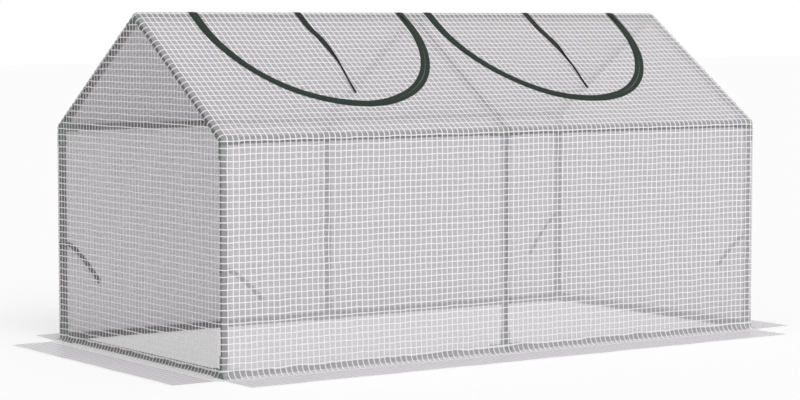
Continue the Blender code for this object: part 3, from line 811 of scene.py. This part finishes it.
def frame_runs():
    """Each tube's node, and the two connectors that it joins."""
    runs = []
    for name in SIDES.values():
        for place in ("left", "middle", "right"):
            base, eave = f"base_connector_{name}_{place}", f"eave_connector_{name}_{place}"
            runs.append((f"post_{name}_{place}", base, eave))
            runs.append((f"rafter_{name}_{place}", eave, f"ridge_connector_{place}"))
        for level in ("base", "eave"):
            line = f"{level}_connector_{name}"
            for end in ENDS.values():
                runs.append((f"{level}_tube_{name}_{end}", f"{line}_{end}", f"{line}_middle"))
    for end in ENDS.values():
        runs.append((f"ridge_tube_{end}", f"ridge_connector_{end}", "ridge_connector_middle"))
        runs.append((f"base_tube_{end}_end", f"base_connector_front_{end}", f"base_connector_back_{end}"))
    return runs


class GREENHOUSE_OT_tubes(bpy.types.Operator):
    """Round steel tubes with a wall and rolled ends, one for each tube of the frame"""

    bl_idname = "greenhouse.tubes"
    bl_label = "Frame Tubes"

    def execute(self, context):
        steel = shared("steel_tube_powder_coated", tube_material)
        centres = frame_centres()
        for node, first, last in frame_runs():
            start, end = centres[first], centres[last]
            low = SOCKET_STOP + TUBE_GAP
            high = np.linalg.norm(end - start) - low
            outer, inner = TUBE_RADIUS, TUBE_RADIUS - TUBE_WALL
            rings = np.linspace(low + RING_INSET, high - RING_INSET, TUBE_RINGS)
            profile = [
                (low + TUBE_LIP, outer),
                *((at, outer) for at in rings),
                (high - TUBE_LIP, outer),
                (high, outer - TUBE_LIP),
                (high, inner),
                (low, inner),
                (low, outer - TUBE_LIP),
                (low + TUBE_LIP, outer),
            ]
            tube = turned(start, end - start, profile, sizes().round_sides)
            make_piece(f"tube_{node}", [tube], [steel], "greenhouse", [node])
        return {"FINISHED"}


class GREENHOUSE_OT_connectors(bpy.types.Operator):
    """Moulded connectors: a ball with a collared socket for each tube that meets there"""

    bl_idname = "greenhouse.connectors"
    bl_label = "Connectors"

    def execute(self, context):
        plastic = shared("polypropylene_moulded", connector_material)
        centres, runs = frame_centres(), frame_runs()
        bend = np.linspace(0, math.pi, BALL_ROWS)
        ball = stacked(-BALL_RADIUS * np.cos(bend), BALL_RADIUS * np.sin(bend))
        height = COLLAR_RADIUS - SOCKET_RADIUS
        chamfer, widening = SOCKET_CHAMFER
        collar = SOCKET_END - COLLAR[0][0]
        rings = np.linspace(SOCKET_RADIUS / 2, collar - COLLAR_GAP, SOCKET_RINGS)
        socket = [
            (0.0, 0.0),
            (0.0, SOCKET_RADIUS),
            *((at, SOCKET_RADIUS) for at in rings),
            *((SOCKET_END - back, SOCKET_RADIUS + height * share) for back, share in COLLAR),
            (SOCKET_END, BORE_RADIUS + widening),
            (SOCKET_END - chamfer, BORE_RADIUS),
            (SOCKET_STOP, BORE_RADIUS),
            (SOCKET_STOP, 0.0),
        ]
        for node, centre in centres.items():
            grids = [turned(centre, (0, 0, 1), ball, BALL_SIDES)]
            for _, first, last in runs:
                if node in (first, last):
                    direction = centres[last if node == first else first] - centre
                    grids.append(turned(centre, direction, socket, SOCKET_SIDES))
            make_piece(f"joint_{node}", grids, [plastic], "greenhouse", [node])
        return {"FINISHED"}


# Cover


class GREENHOUSE_OT_long_film(bpy.types.Operator):
    """The panels that run the whole length: front wall, front roof with its window openings, back sheet"""

    bl_idname = "greenhouse.long_film"
    bl_label = "Wall and Roof Film"

    def execute(self, context):
        x = full_width()[None, :]
        wall = wall_rows()[:, None]
        ridge, eave = roof_rows()
        front = film_piece("film_front_wall", [long_grid(x, wall, -1)], [wall_film()], "cover_front_wall")

        roof = film_piece("film_front_roof", self.front_roof(ridge, eave), [roof_film()], "cover_front_roof")

        slope = fine_steps(RIDGE_BEND, RIDGE_BEND + SLOPE, size=ROW_STEP)
        slope = np.concatenate((ridge, slope[1:], eave[1:]))[:, None]
        grids = [long_grid(x, slope, 1, 0), long_grid(x, wall, 1, 1)]
        back = film_piece("film_back_sheet", grids, [roof_film(), wall_film()], "cover_back_sheet")
        return {"FINISHED"}

    def front_roof(self, ridge, eave):
        """Three strips from the ridge to the eave, and under each window the part from its edge down:
        run = edge + (slope's end - edge) times the share down."""
        slope_end = RIDGE_BEND + SLOPE
        share = np.linspace(0, 1, SLOPE_ROWS)
        upper = np.concatenate((ridge, fine_steps(RIDGE_BEND, WINDOW_LEG, size=ROW_STEP)[1:]))
        lower = WINDOW_LEG + (slope_end - WINDOW_LEG) * share
        rows = np.concatenate((upper, lower[1:], eave[1:]))[:, None]
        left = fine_steps(-POST_X, -WINDOW_X - WINDOW_HALF, size=FILM_STEP)
        left = np.concatenate((-end_columns()[::-1], left[1:]))
        inner = WINDOW_X - WINDOW_HALF
        strips = (left, fine_steps(-inner, 0, inner, size=FILM_STEP), -left[::-1])
        grids = [long_grid(strip[None, :], rows, -1) for strip in strips]
        for centre in (-WINDOW_X, WINDOW_X):
            across, edge = window_edge(WINDOW_ANGLES, centre)
            run = edge + (slope_end - edge) * share[:, None]
            run = np.concatenate((run, np.broadcast_to(eave[1:, None], (len(eave) - 1, len(across)))))
            grids.append(long_grid(np.broadcast_to(across, run.shape), run, -1))
        return grids


def foot_corner(end, side, edge, foot):
    """The film that closes the foot's corner between an end and a long wall: straight lines from the end
    film's edge to the long film's edge at the same turn of the foot's bend."""
    run = ROOF_RUN + WALL + FOOT_RADIUS * foot
    long_edge = long_points(end * FILM_X, run, 0, side)
    share = np.linspace(0, 1, CORNER_ROWS)[:, None]
    points = edge[:, None] + (long_edge - edge[:, None]) * share[None]
    across = np.linalg.norm(points - edge[:, None], axis=-1)
    columns = (side * (np.abs(edge[:, None, 1]) + across) + HALF_WIDTH) / COLUMN_PITCH
    threads = stacked(columns, WALL_ROWS + foot * 2 / math.pi)
    if end * side < 0:
        points, threads = points[:, ::-1], threads[:, ::-1]
    return grid(points, threads)


class GREENHOUSE_OT_end_film(bpy.types.Operator):
    """The two gable panels, each with the bend into its skirt at the foot"""

    bl_idname = "greenhouse.end_film"
    bl_label = "End Film"

    def execute(self, context):
        half = POST_Y - END_INSET
        low = FILM + FOOT_RADIUS
        for end, name in ENDS.items():
            panel = film_piece(
                f"film_{name}_end", self.gable(end, half, low), [end_film(end)], f"cover_{name}_end"
            )
        return {"FINISHED"}

    def gable(self, end, half, low):
        """The gable: y = half times the share across, z = low + (rake - low) times the share up, at x =
        half length - slack. Under it the foot turns out: x = half length + radius times (1 - cos foot),
        z = low - radius times sin foot, and it spreads to the cover's full width."""
        share = fine_steps(-1, 0, 1, size=FILM_STEP / half)[None, :]
        rise = np.linspace(0, 1, END_ROWS)[:, None]
        foot = np.linspace(math.pi / 2, 0, FOOT_ROWS)[:, None]
        y = half * share
        z = low + (RIDGE_Z - END_DROP - np.abs(y) * math.tan(PITCH) - low) * rise
        wall = stacked(end * (HALF_LENGTH - end_slack(y, z, end)), y, z)
        wall_threads = stacked((y + HALF_WIDTH) / COLUMN_PITCH, (EAVE_TOP - z) / ROW_PITCH)
        foot_x = HALF_LENGTH + FOOT_RADIUS * (1 - np.cos(foot))
        foot_y = (half + (HALF_WIDTH - half) * (1 - smooth_step(1 - foot / (math.pi / 2)))) * share
        bend = stacked(end * foot_x, foot_y, low - FOOT_RADIUS * np.sin(foot))
        bend_threads = stacked((foot_y + HALF_WIDTH) / COLUMN_PITCH, WALL_ROWS + foot * 2 / math.pi)
        points = np.concatenate((bend[:-1], wall))
        threads = np.concatenate((bend_threads[:-1], wall_threads))
        if end < 0:
            points, threads = points[:, ::-1], threads[:, ::-1]
        corners = [foot_corner(end, side, bend[:, 0 if side < 0 else -1], foot) for side in SIDES]
        return [grid(points, threads), *corners]


class GREENHOUSE_OT_skirts(bpy.types.Operator):
    """The four skirts that lie on the ground, faintly rippled towards their outer edge"""

    bl_idname = "greenhouse.skirts"
    bl_label = "Ground Skirts"

    def execute(self, context):
        end_seam = SKIRT_SEAM_Y - HALF_WIDTH + HALF_LENGTH
        for side, name in SIDES.items():
            self.make_skirt(name, side, True, SKIRT_SEAM_Y, SKIRT_EDGE_Y, HALF_LENGTH)
        for end, name in ENDS.items():
            self.make_skirt(name, end, False, end_seam, SKIRT_EDGE_X, HALF_WIDTH)
        return {"FINISHED"}

    def make_skirt(self, name, sign, is_long, seam, edge, reach):
        """A flat strip from the seam out to the edge, which rises by (least lift + a third of the ripple
        height times the ripples added up + their heights) times the share of the way out. The ripples are
        at their full height from two thirds of the way on."""
        out = fine_steps(seam, edge - SKIRT_STEP, edge, size=SKIRT_STEP)[:, None]
        along = fine_steps(-reach, reach, size=2 * SKIRT_STEP)[None, :]
        far = (out - seam) / (edge - seam)
        wave = rippled(SKIRT_RIPPLES, along, out, sign) + sum(ripple[0] for ripple in SKIRT_RIPPLES)
        lift = SKIRT_LIFT + sizes().skirt_ripple / 3 * wave * smooth_step(far * 1.5)
        z = FILM - SKIRT_DROP + lift * far
        points = stacked(along, sign * out, z) if is_long else stacked(sign * out, along, z)
        threads = stacked((along + reach) / COLUMN_PITCH, (out - seam) / ROW_PITCH)
        if is_long == (sign < 0):
            points, threads = points[::-1], threads[::-1]
        strip = [grid(points, threads)]
        body = f"skirt_{name}_flap"
        skirt = film_piece(f"film_skirt_{name}", strip, [skirt_film()], f"skirt_{name}", body)


# Windows


def zip_line(centre):
    """The zip's line as arrays: distance along it, x, run, and the unit vector away from the window."""
    leg = np.linspace(RIDGE_GAP, WINDOW_LEG, LEG_ROWS + 1)[:-1]
    x, run = window_edge(ZIP_ANGLES, centre)
    away = unit(stacked(-np.cos(ZIP_ANGLES) * WINDOW_CURVE, np.sin(ZIP_ANGLES) * WINDOW_HALF))
    side = np.ones_like(leg)
    x = np.concatenate((centre - WINDOW_HALF * side, x, centre + WINDOW_HALF * side))
    run = np.concatenate((leg, run, leg[::-1]))
    away_x = np.concatenate((-side, away[:, 0], side))
    away_run = np.concatenate((0 * side, away[:, 1], 0 * side))
    distance = np.concatenate(([0], np.cumsum(np.hypot(np.diff(x), np.diff(run)))))
    return distance, x, run, away_x, away_run


def along_zip(centre, distance, across, height):
    """Points beside the zip's line: the line's point at a distance along it, moved across away from the
    window, at a height over the roof."""
    line, *values = zip_line(centre)
    x, run, away_x, away_run = (np.interp(distance, line, value) for value in values)
    return long_points(x + away_x * across, np.maximum(run + away_run * across, 0), height, -1)


class GREENHOUSE_OT_windows(bpy.types.Operator):
    """The two window flaps of film, each of which ends on the tape of its zip, inside the half oval"""

    bl_idname = "greenhouse.windows"
    bl_label = "Window Film"

    def execute(self, context):
        ridge, _ = roof_rows()
        share = np.linspace(0, 1, FLAP_ROWS)[1:, None]
        inset = TOOTH_START + ZIP_HALF_WIDTH - ZIP_SEAM
        for end, name in ENDS.items():
            across, edge = window_edge(WINDOW_ANGLES, end * WINDOW_X, inset)
            upper = np.broadcast_to(ridge[:, None], (len(ridge), len(across)))
            run = np.concatenate((upper, RIDGE_BEND + (edge - RIDGE_BEND) * share))
            film = [long_grid(np.broadcast_to(across, run.shape), run, -1)]
            node, body = f"window_flap_{name}", f"window_{name}"
            flap = film_piece(f"film_window_{name}", film, [roof_film()], node, body)
        return {"FINISHED"}


class GREENHOUSE_OT_zips(bpy.types.Operator):
    """Zip tapes and coils round the windows, one half on the roof and one on the flap, and the sliders"""

    bl_idname = "greenhouse.zips"
    bl_label = "Zips"

    def execute(self, context):
        woven = (list(finish().zip_colour), 1.1 * MM, ZIP_HALF_WIDTH / 2)
        tape = shared("polyester_zip_tape_woven", woven_tape_material, *woven)
        nylon = shared("nylon_coil_drawn", coil_material)
        metal = shared("zinc_die_cast_lacquered", slider_material)
        for end, name in ENDS.items():
            centre = end * WINDOW_X
            for side, half, body, nodes in (
                (1, "roof", "greenhouse", [f"zip_roof_half_{name}"]),
                (-1, "flap", f"window_{name}", []),
            ):
                grids = self.tape(centre, side)
                make_piece(f"zip_tape_{half}_{name}", grids, [tape], body, nodes)
                grids = self.coil(centre, side)
                make_piece(f"zip_coil_{half}_{name}", grids, [nylon], body, ())
            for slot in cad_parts[f"zip_slider_{name}"].material_slots:
                slot.material = metal
        return {"FINISHED"}

    def tape(self, centre, side):
        """A flat strip with a faint crown and a thin outer edge, carried along the zip, and its two ends."""
        top = ZIP_REST + ZIP_THICKNESS
        far = TOOTH_START + ZIP_HALF_WIDTH
        section = np.array(
            [
                (TOOTH_START, ZIP_REST),
                (TOOTH_START, top),
                (far * 0.55, top + ZIP_CROWN),
                (far - ZIP_TAPER, top),
                (far - ZIP_SELVEDGE, ZIP_REST + 2 * ZIP_SELVEDGE),
                (far, ZIP_REST),
                (TOOTH_START, ZIP_REST),
            ]
        )
        steps = fine_steps(0, zip_line(centre)[0][-1], size=ZIP_STEP)[:, None]
        points = along_zip(centre, steps, side * section[:, 0], section[:, 1])
        weave = stacked(steps, section[:, 0] - TOOTH_START - ZIP_HALF_WIDTH / 2)
        caps = [grid(np.stack((points[cut, :4], points[cut, [6, 5, 5, 4]]))) for cut in (0, -1)]
        return [grid(points, weave), *caps]

    def coil(self, centre, side):
        """A wire wound along the zip: turn = 2 pi distance / pitch, across and height go round a flat
        oval, and a round wire of four sides is carried along that winding."""
        length = zip_line(centre)[0][-1]
        turns = int(length / sizes().coil_pitch)
        turn = np.linspace(0, 2 * math.pi * turns, turns * COIL_SIDES + 1)[:, None]
        distance = turn / (2 * math.pi * turns) * length
        wire = np.linspace(0, 2 * math.pi, 5)
        reach = np.cos(wire) * COIL_WIRE
        across = TOOTH_START + TOOTH_WIDTH / 2 + (TOOTH_WIDTH / 2 - COIL_WIRE + reach) * np.cos(turn)
        height = ZIP_REST + COIL_HEIGHT + (COIL_RISE + reach) * np.sin(turn)
        return [grid(along_zip(centre, distance + np.sin(wire) * COIL_WIRE, side * across, height))]


# Ties


class GREENHOUSE_OT_ties(bpy.types.Operator):
    """Tie tapes: one hanging over each window, flat and then furled, and one knotted on each corner post
    inside
    """

    bl_idname = "greenhouse.ties"
    bl_label = "Tie Tapes"

    def execute(self, context):
        woven = (list(finish().tie_colour), 1.3 * MM, OUTER_TIE_WIDTH / 2)
        cloth = shared("polyester_tie_tape_woven", woven_tape_material, *woven)
        for end, name in ENDS.items():
            self.make_outer_tie(end, name, cloth)
            for side, side_name in SIDES.items():
                self.make_inner_tie(end, side, f"{side_name}_{name}", cloth)
        return {"FINISHED"}

    def make_outer_tie(self, end, name, cloth):
        """A strip carried down the roof that rolls up from its right edge. Across the strip its angle adds
        up the curvature, which is 0 on the flat part and 1 / radius in the roll, where radius squared =
        core squared + gap times the width still to come / pi, and the strip follows the angle's cos and
        sin. Its middle swings out by bow times the sine of pi times the share of the bow's length."""
        stops = (RIDGE_GAP, RIDGE_BEND, FURL_START, FURL_END, OUTER_TIE_LENGTH)
        run = fine_steps(*stops, size=TIE_STEP)[:, None]
        swing = np.clip(run - BOW_START, 0, None)
        bow = BOW_WIDTH * smooth_step(swing / BOW_EASE) * np.sin(math.pi * swing / BOW_LENGTH)
        width = np.linspace(0, OUTER_TIE_WIDTH, FURL_COLUMNS)[None, :]
        step = width[0, 1]
        rolled = OUTER_TIE_WIDTH * smooth_step((run - FURL_START) / (FURL_END - FURL_START))
        to_come = OUTER_TIE_WIDTH - width
        curvature = 1 / np.sqrt(FURL_CORE**2 + FURL_GAP * to_come / math.pi)
        curvature = curvature * smooth_step((rolled - to_come) / FURL_EASE)
        angle = np.cumsum(curvature, axis=1) * step
        lines = [np.cumsum(f(angle), axis=1) * step for f in (np.cos, np.sin)]
        over = lines[0] - TAPE_THICKNESS * np.sin(angle), lines[1] + TAPE_THICKNESS * np.cos(angle)
        across, up = (np.concatenate((a, b[:, ::-1], a[:, :1]), axis=1) for a, b in zip(lines, over))
        across = across - (across.max(axis=1, keepdims=True) + across.min(axis=1, keepdims=True)) / 2
        up = up - up.min(axis=1, keepdims=True)
        x = end * WINDOW_X + OUTER_TIE_OFFSETS[end] + bow + across
        points = long_points(x, run, ZIP_REST + up, -1)
        wide = np.concatenate((width, width[:, ::-1], width[:, :1]), axis=1) - OUTER_TIE_WIDTH / 2
        grids = [grid(points, stacked(run, wide))]
        count = width.shape[1]
        for cut in (0, -1):
            under, above = points[cut, :count], points[cut, count : 2 * count]
            grids.append(grid(np.stack((under, above[::-1]))))
        body, nodes = f"window_{name}", [f"tie_tape_{name}"]
        tie = make_piece(f"tie_over_window_{name}", grids, [cloth], body, nodes)

    def make_inner_tie(self, end, side, name, cloth):
        """A band round the post, a knot of two crossed turns, and a tail that curves down: along the
        tail a point drops by drop times the share along to the power of the curve."""
        post = np.array((end * POST_X, side * POST_Y, INNER_TIE_HEIGHT))
        outer = TUBE_RADIUS + INNER_TIE_GAP + TAPE_THICKNESS
        knot = post - np.array((end * (outer + KNOT_OFFSET), 0, 0))
        grids = [self.band(post, outer), *(self.knot_turn(knot, tilt) for tilt in (-KNOT_TILT, KNOT_TILT))]
        share = np.linspace(0, 1, TAIL_ROWS)[:, None]
        drop = INNER_TIE_DROPS[side] * share**INNER_TIE_CURVE
        steep = INNER_TIE_CURVE * INNER_TIE_DROPS[side] * np.maximum(share, 1e-6) ** (INNER_TIE_CURVE - 1)
        slope = unit(np.concatenate((np.full_like(share, INNER_TIE_REACH), steep), axis=1))
        # Across the tape: over one face, round its edge and back over the other
        width = INNER_TIE_WIDTH * np.array((-0.5, -0.25, 0, 0.25, 0.5, 0.5, 0.25, 0, -0.25, -0.5, -0.5))
        thick = TAPE_THICKNESS / 2 * np.array((-1, -1, -1, -1, -1, 1, 1, 1, 1, 1, -1))
        curl = INNER_TIE_CURL * np.sin(9 * share) * np.cos(width / INNER_TIE_WIDTH * math.pi)
        x = knot[0] - end * (INNER_TIE_REACH * share + slope[:, 1:] * width)
        z = knot[2] - drop + slope[:, :1] * width
        points = stacked(x, knot[1] + thick + curl, z)
        grids.append(grid(points, stacked(share * INNER_TIE_TAIL, width)))
        grids += [grid(np.stack((points[cut, :5], points[cut, 9:4:-1]))) for cut in (0, -1)]
        tie = make_piece(f"tie_inside_{name}", grids, [cloth], "greenhouse", [f"inner_tie_{name}"])

    def band(self, post, outer):
        """The turn round the post, faintly crowned."""
        half, inner = INNER_TIE_WIDTH / 2, outer - TAPE_THICKNESS
        crown = outer + INNER_TIE_CROWN
        loop = [(-half, inner), (-half, outer), (0, crown), (half, outer), (half, inner), (-half, inner)]
        return turned(post, (0, 0, 1), loop, BAND_SIDES)

    def knot_turn(self, knot, tilt):
        """A ball drawn in at its poles by waist times the cube of the cos of (bend + tilt), flattened and
        tilted over y."""
        bend = np.linspace(0, math.pi, BALL_ROWS)[:, None]
        angle = np.linspace(0, 2 * math.pi, KNOT_SIDES + 1)
        swell = KNOT_RADIUS * (1 - KNOT_WAIST * np.abs(np.cos(bend + tilt)) ** 3)
        wide, deep = KNOT_FLATNESS
        x = wide * np.sin(bend) * np.cos(angle) * swell
        y = deep * np.sin(bend) * np.sin(angle) * swell
        z = np.cos(bend) * swell
        turned_x = x * math.cos(tilt) - z * math.sin(tilt)
        turned_z = x * math.sin(tilt) + z * math.cos(tilt)
        return grid(knot + stacked(turned_x, y, turned_z), stacked(turned_x, turned_z))


# Stage


class GREENHOUSE_OT_stage(bpy.types.Operator):
    """A plain pale floor, a white surround, soft light from the front and above, and the camera"""

    bl_idname = "greenhouse.stage"
    bl_label = "Stage"

    def execute(self, context):
        scene = context.scene
        scene.view_settings.view_transform = "Standard"
        self.make_floor(scene)
        self.make_surround(scene)
        sun = bpy.data.lights.new("softbox_above", "SUN")
        sun.energy = SUN_STRENGTH
        sun.angle = SUN_SPREAD
        lamp = bpy.data.objects.new("softbox_above", sun)
        lamp.rotation_euler = SUN_TURN
        scene.collection.objects.link(lamp)
        lens = bpy.data.cameras.new("camera")
        lens.lens = LENS
        lens.sensor_width = SENSOR
        camera = bpy.data.objects.new("camera", lens)
        camera.location = CAMERA_PLACE
        camera.rotation_euler = CAMERA_TURN
        scene.collection.objects.link(camera)
        scene.camera = camera
        return {"FINISHED"}

    def make_floor(self, scene):
        """Studio paper: white to the eye and in reflections, and pale where it takes a shadow."""
        paper, add = new_material("studio_paper_matt")
        seen = self.seen_by_eye(add)
        tone = add("Mix", [seen, linear("FCFAFC"), linear("BDBBBD")], data_type="RGBA")
        glow = add("MapRange", [seen, 0.0, 1.0, 0.0, FLOOR_GLOW])
        glow = add("Emission", {"Color": linear("FFFFFF"), "Strength": glow})
        added = add("AddShader", [add("BsdfDiffuse", {"Color": tone}), glow])
        add("OutputMaterial", {"Surface": added})
        mesh = bpy.data.meshes.new("floor")
        corners = [(x * FLOOR_REACH, y * FLOOR_REACH, 0) for x, y in ((-1, -1), (1, -1), (1, 1), (-1, 1))]
        mesh.from_pydata(corners, [], [(0, 1, 2, 3)])
        mesh.materials.append(paper)
        floor = bpy.data.objects.new("floor", mesh)
        scene.collection.objects.link(floor)

    def make_surround(self, scene):
        """A studio all round: white to the eye and in reflections, and dimmer as a light."""
        world = bpy.data.worlds.new("studio")
        world.use_nodes = True
        world.node_tree.nodes.clear()
        add = partial(add_node, world.node_tree)
        level = add("MapRange", [self.seen_by_eye(add), 0.0, 1.0, SURROUND_STRENGTH, 1.0])
        light = add("Background", {"Color": linear("FFFFFF"), "Strength": level})
        add("OutputWorld", {"Surface": light})
        scene.world = world

    def seen_by_eye(self, add):
        """1 for what the camera sees straight, in a mirror or through glass."""
        path = add("LightPath").outputs
        seen = add("Math", [path["Is Camera Ray"], path["Is Glossy Ray"]], operation="MAXIMUM")
        return add("Math", [seen, path["Is Transmission Ray"]], operation="MAXIMUM")


OPERATORS = (
    GREENHOUSE_OT_stage,
    GREENHOUSE_OT_tubes,
    GREENHOUSE_OT_connectors,
    GREENHOUSE_OT_long_film,
    GREENHOUSE_OT_end_film,
    GREENHOUSE_OT_skirts,
    GREENHOUSE_OT_windows,
    GREENHOUSE_OT_zips,
    GREENHOUSE_OT_ties,
)


class GREENHOUSE_PT_panel(bpy.types.Panel):
    """The greenhouse's sizes, finishes and makers, in the sidebar"""

    bl_idname = "GREENHOUSE_PT_panel"
    bl_label = "Mini Greenhouse"
    bl_space_type = "VIEW_3D"
    bl_region_type = "UI"
    bl_category = "Greenhouse"

    def draw(self, context):
        for group in (context.scene.greenhouse_sizes, context.scene.greenhouse_finish):
            for name in group.bl_rna.properties.keys():
                if name not in ("rna_type", "name"):
                    self.layout.prop(group, name)
        for operator in OPERATORS:
            self.layout.operator(operator.bl_idname)


CLASSES = (GreenhouseSizes, GreenhouseFinish, *OPERATORS, GREENHOUSE_PT_panel)


def register():
    for cls in CLASSES:
        bpy.utils.register_class(cls)
    bpy.types.Scene.greenhouse_sizes = bpy.props.PointerProperty(type=GreenhouseSizes)
    bpy.types.Scene.greenhouse_finish = bpy.props.PointerProperty(type=GreenhouseFinish)


def unregister():
    del bpy.types.Scene.greenhouse_finish
    del bpy.types.Scene.greenhouse_sizes
    for cls in reversed(CLASSES):
        bpy.utils.unregister_class(cls)


def main():
    register()
    bpy.ops.greenhouse.stage()
    bpy.ops.greenhouse.tubes()
    bpy.ops.greenhouse.connectors()
    bpy.ops.greenhouse.long_film()
    bpy.ops.greenhouse.end_film()
    bpy.ops.greenhouse.skirts()
    bpy.ops.greenhouse.windows()
    bpy.ops.greenhouse.zips()
    bpy.ops.greenhouse.ties()


if __name__ == "__main__":
    main()
